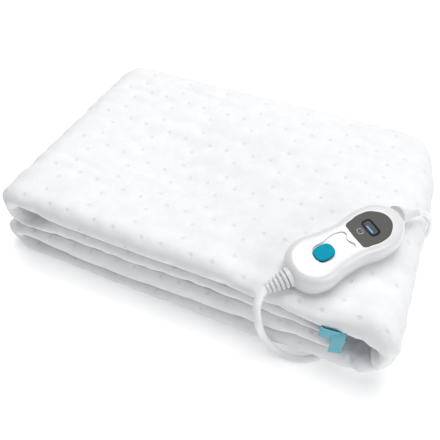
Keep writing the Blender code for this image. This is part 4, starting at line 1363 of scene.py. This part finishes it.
RIBBON_LOOP = (
    (0.1560, -0.1306, 0.0640), (0.1500, -0.1307, 0.0640), (0.1410, -0.1309, 0.0638),
    (0.1374, -0.1314, 0.0636), (0.1366, -0.1324, 0.0636), (0.1374, -0.1333, 0.0637),
    (0.1410, -0.1337, 0.0640), (0.1480, -0.1334, 0.0646), (0.1530, -0.1330, 0.0652),
)
RIBBON_DROP = (
    (0.1530, -0.1318, 0.0706), (0.1529, -0.1332, 0.0690), (0.1530, -0.1342, 0.0640),
    (0.1531, -0.1345, 0.0560), (0.1533, -0.1346, 0.0480), (0.1537, -0.1348, 0.0405),
)
RIBBON_STRAND = (
    (0.1580, -0.1322, 0.0560), (0.1588, -0.1310, 0.0535), (0.1592, -0.1290, 0.0510),
    (0.1590, -0.1262, 0.0490),
)
ribbon = tape("woven_ribbon", RIBBON_LOOP, (0.0, 0.0, 0.0138))
ribbon_drop = tape("ribbon_drop", RIBBON_DROP, (0.0106, 0.0, 0.0054))
ribbon_strand = tape("ribbon_strand", RIBBON_STRAND, (0.0016, 0.0, 0.0120))
only(ribbon)
ribbon_drop.select_set(True)
ribbon_strand.select_set(True)
bpy.ops.object.join()
report(ribbon)

# %% [markdown]
# Grosgrain tape shows fine cords across its width and a slightly raised edge.  A wave texture
# on Object coordinates gives the cords, since the ribbon lies square to the axes, and a noise
# breaks their colour up.

# %% Finish of the ribbon
ribbon_teal = finish("ribbon_teal_weave", (0.13, 0.50, 0.60), 0.70, Sheen_Weight=0.3)
threads = node(ribbon_teal, "ShaderNodeTexWave", wave_type="BANDS", bands_direction="X")
threads.inputs["Scale"].default_value = 420.0
threads.inputs["Distortion"].default_value = 1.2
threads.inputs["Detail"].default_value = 2.0
link(ribbon_teal, coordinates(ribbon_teal), threads.inputs["Vector"])
tinted(
    ribbon_teal, threads.outputs["Fac"], 0.2, 0.8, (0.100, 0.43, 0.54), (0.185, 0.58, 0.68)
)
weave = bump(ribbon_teal, threads.outputs["Fac"], 0.0002, 0.6)
bump(ribbon_teal, mottle(ribbon_teal, 900.0, 3.0), 0.0002, 0.5, weave)
dress(ribbon, ribbon_teal)

# %% [markdown]
# The mains lead ends in a flat two-pin plug.  Its body is one moulding: slim where the lead
# comes in, wide at the pins, rounded all round and with three ribs to grip on each side.  Half
# of it is raised from its outline and mirrored, which makes both sides the same.

# %% Plug
PLUG_FRAME = Matrix.Translation((0.0340, 0.1830, 0.00695)) @ Matrix.Rotation(math.pi, 4, "Z")
PLUG_HALF = (
    (0.0, 0.0), (0.0003, 0.0058), (0.0115, 0.0086), (0.0200, 0.0168),
    (0.0335, 0.0174), (0.0357, 0.0150), (0.0360, 0.0),
)
PLUG_STEPS = ((0.0004, 0.0014), (0.0009, 0.0012), (0.0012, 0.0007), (0.0013, 0.0002))
PLUG_HALF_THICKNESS = 0.00685
PLUG_CROWN = 0.0003
GRIP_SIZE = (0.0013, 0.0200)
GRIP_CORNER = 0.0006
GRIP_DEPTH = 0.0009
SLEEVE_RADII = (0.0052, 0.0031)
SLEEVE_LENGTH = 0.0213
GRIP_PLACES = (0.0225, 0.0255, 0.0285)

plug_body = outline_face("plug_body", PLUG_HALF, 0.0)
plug_wall = PLUG_HALF_THICKNESS - PLUG_CROWN - sum(up for inwards, up in PLUG_STEPS)
raise_face(plug_body, plug_wall, PLUG_STEPS)
only(plug_body)
edit()
bpy.ops.mesh.select_mode(type="FACE")
bpy.ops.mesh.select_all(action="DESELECT")
for face in bmesh.from_edit_mesh(plug_body.data).faces:
    face.select = abs(face.calc_center_median().z) < 0.00001
bpy.ops.mesh.delete(type="FACE")
leave()
halves = plug_body.modifiers.new("both_halves", "MIRROR")
halves.use_axis = (False, False, True)
bpy.ops.object.modifier_apply(modifier=halves.name)
weld(plug_body)
grips = []
for place in GRIP_PLACES:
    for side in (-1, 1):
        foot = PLUG_HALF_THICKNESS - GRIP_DEPTH
        levels = sorted((side * foot, side * PLUG_HALF_THICKNESS))
        grips.append(clipped_plate("grip_rib", (place, 0.0), GRIP_SIZE, GRIP_CORNER, *levels))
        leave()
only(plug_body)
for grip in grips:
    grip.select_set(True)
bpy.ops.object.join()
dress(plug_body, pvc_white)
plug_body.matrix_world = PLUG_FRAME
settle(plug_body, 40)
report(plug_body)

plug_sleeve = turned_up("plug_sleeve", trumpet_profile(*SLEEVE_RADII, SLEEVE_LENGTH))
stand_on(plug_sleeve, PLUG_FRAME.translation, PLUG_SLEEVE_TIP)
dress(plug_sleeve, pvc_white)
settle(plug_sleeve, 50)
report(plug_sleeve)

# %% [markdown]
# The pins, the tie round the coil and the small moulded entry under the stack have the right
# shape in the CAD model already, so they stay, and only get a proper finish: drawn brass with
# fine lines along the pin, a soft tie, and the same PVC as the lead.

# %% Finishes for the CAD pieces that stay
pin_metal = finish("pin_nickel_brass", (0.62, 0.60, 0.55), 0.28, Metallic=1.0)
pin_lines = mottle(pin_metal, 500.0, 2.0, 0.6, (0.1, 4.0, 4.0))
tinted(pin_metal, pin_lines, 0.3, 0.7, (0.56, 0.54, 0.49), (0.68, 0.66, 0.61))
bump(pin_metal, pin_lines, 0.00004, 0.4)
tie_white = finish("tie_soft_white", (0.68, 0.68, 0.69), 0.55)
tie_ribs = mottle(tie_white, 1400.0, 2.0)
tinted(tie_white, tie_ribs, 0.3, 0.7, (0.62, 0.62, 0.63), (0.72, 0.72, 0.73))
bump(tie_white, tie_ribs, 0.0001, 0.5)
for name, material in (
    ("plug_pin_left", pin_metal),
    ("plug_pin_right", pin_metal),
    ("coil_tie", tie_white),
    ("cord_entry", pvc_white),
):
    kept = frame["nodes"][name]
    if kept.material_slots:
        for slot in kept.material_slots:
            slot.material = material
    else:
        kept.data.materials.append(material)


# %% [markdown]
# The set is a white table under a large overhead softbox, with a weaker one at its right and
# a pale world that fills the shadows.  The table glows a little by itself, so it prints as
# white, as in a catalogue cut-out, and only the contact shadow shows.

# %% Studio
FLOOR_SIZE = 6.0
FLOOR_GLOW = 0.24
deselect_all()
bpy.ops.mesh.primitive_plane_add(size=FLOOR_SIZE, location=(0.0, 0.0, 0.0))
floor = bpy.context.object
floor.name = "studio_floor"
floor_white = finish(
    "floor_white", (0.97, 0.97, 0.97), 0.9, Specular_IOR_Level=0.0, Emission_Strength=FLOOR_GLOW
)
shader_of(floor_white).inputs["Emission Color"].default_value = (1.0, 1.0, 1.0, 1.0)
dress(floor, floor_white)


def softbox(name, place, aim_at, size, power):
    data = bpy.data.lights.new(name, "AREA")
    data.shape = "RECTANGLE"
    data.size, data.size_y = size
    data.energy = power
    thing = placed(name, data)
    thing.location = place
    thing.rotation_euler = (Vector(aim_at) - Vector(place)).to_track_quat("-Z", "Y").to_euler()


softbox("overhead_softbox", (-0.10, 0.30, 1.6), (0.0, 0.0, 0.0), (1.3, 1.0), 21.0)
softbox("side_softbox", (1.6, -0.50, 0.7), (0.1, -0.05, 0.08), (0.9, 0.9), 8.0)

world = bpy.data.worlds.new("studio_world")
world.use_nodes = True
sky = world.node_tree.nodes["Background"]
sky.inputs["Color"].default_value = (0.97, 0.98, 1.0, 1.0)
sky.inputs["Strength"].default_value = 0.30
bpy.context.scene.world = world
bpy.context.scene.view_settings.view_transform = "Standard"
bpy.context.scene.view_settings.look = "None"

# %% [markdown]
# Last, every piece is tied to the frame: what it rides on and which CAD solid it stands for.  The
# table also names its finish of the record, which is not used.  The cords print their real
# lengths.

# %% Ties to the frame
ROOT = "blanket"
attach(blanket, ROOT)
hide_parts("blanket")
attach(blanket_cord, ROOT)
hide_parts("blanket_lead")
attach(mains_cord, ROOT)
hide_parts("mains_lead", "mains_coil", "mains_tail")

PIECES = (
    (upper_shell, "blanket", "shell", ("handset_upper",)),
    (lower_shell, "blanket", "shell", ("handset_lower",)),
    (panel, "blanket", "panel", ("display_panel",)),
    (window, "blanket", "window", ("display_window",)),
    (lit_bar, "blanket", "window", ()),
    (power_sign, "blanket", "panel", ()),
    (slider, "button", "button", ("button",)),
    (ribbed, "blanket", "flex", ("relief_front",)),
    (trumpet, "blanket", "flex", ("relief_back",)),
    (ribbon, "blanket", "ribbon", ("ribbon_tab",)),
    (plug_body, "blanket", "flex", ("plug",)),
    (plug_sleeve, "blanket", "flex", ("plug_relief",)),
)
for piece, body, slot, stood_for in PIECES:
    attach(piece, body)
    if stood_for:
        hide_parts(*stood_for)
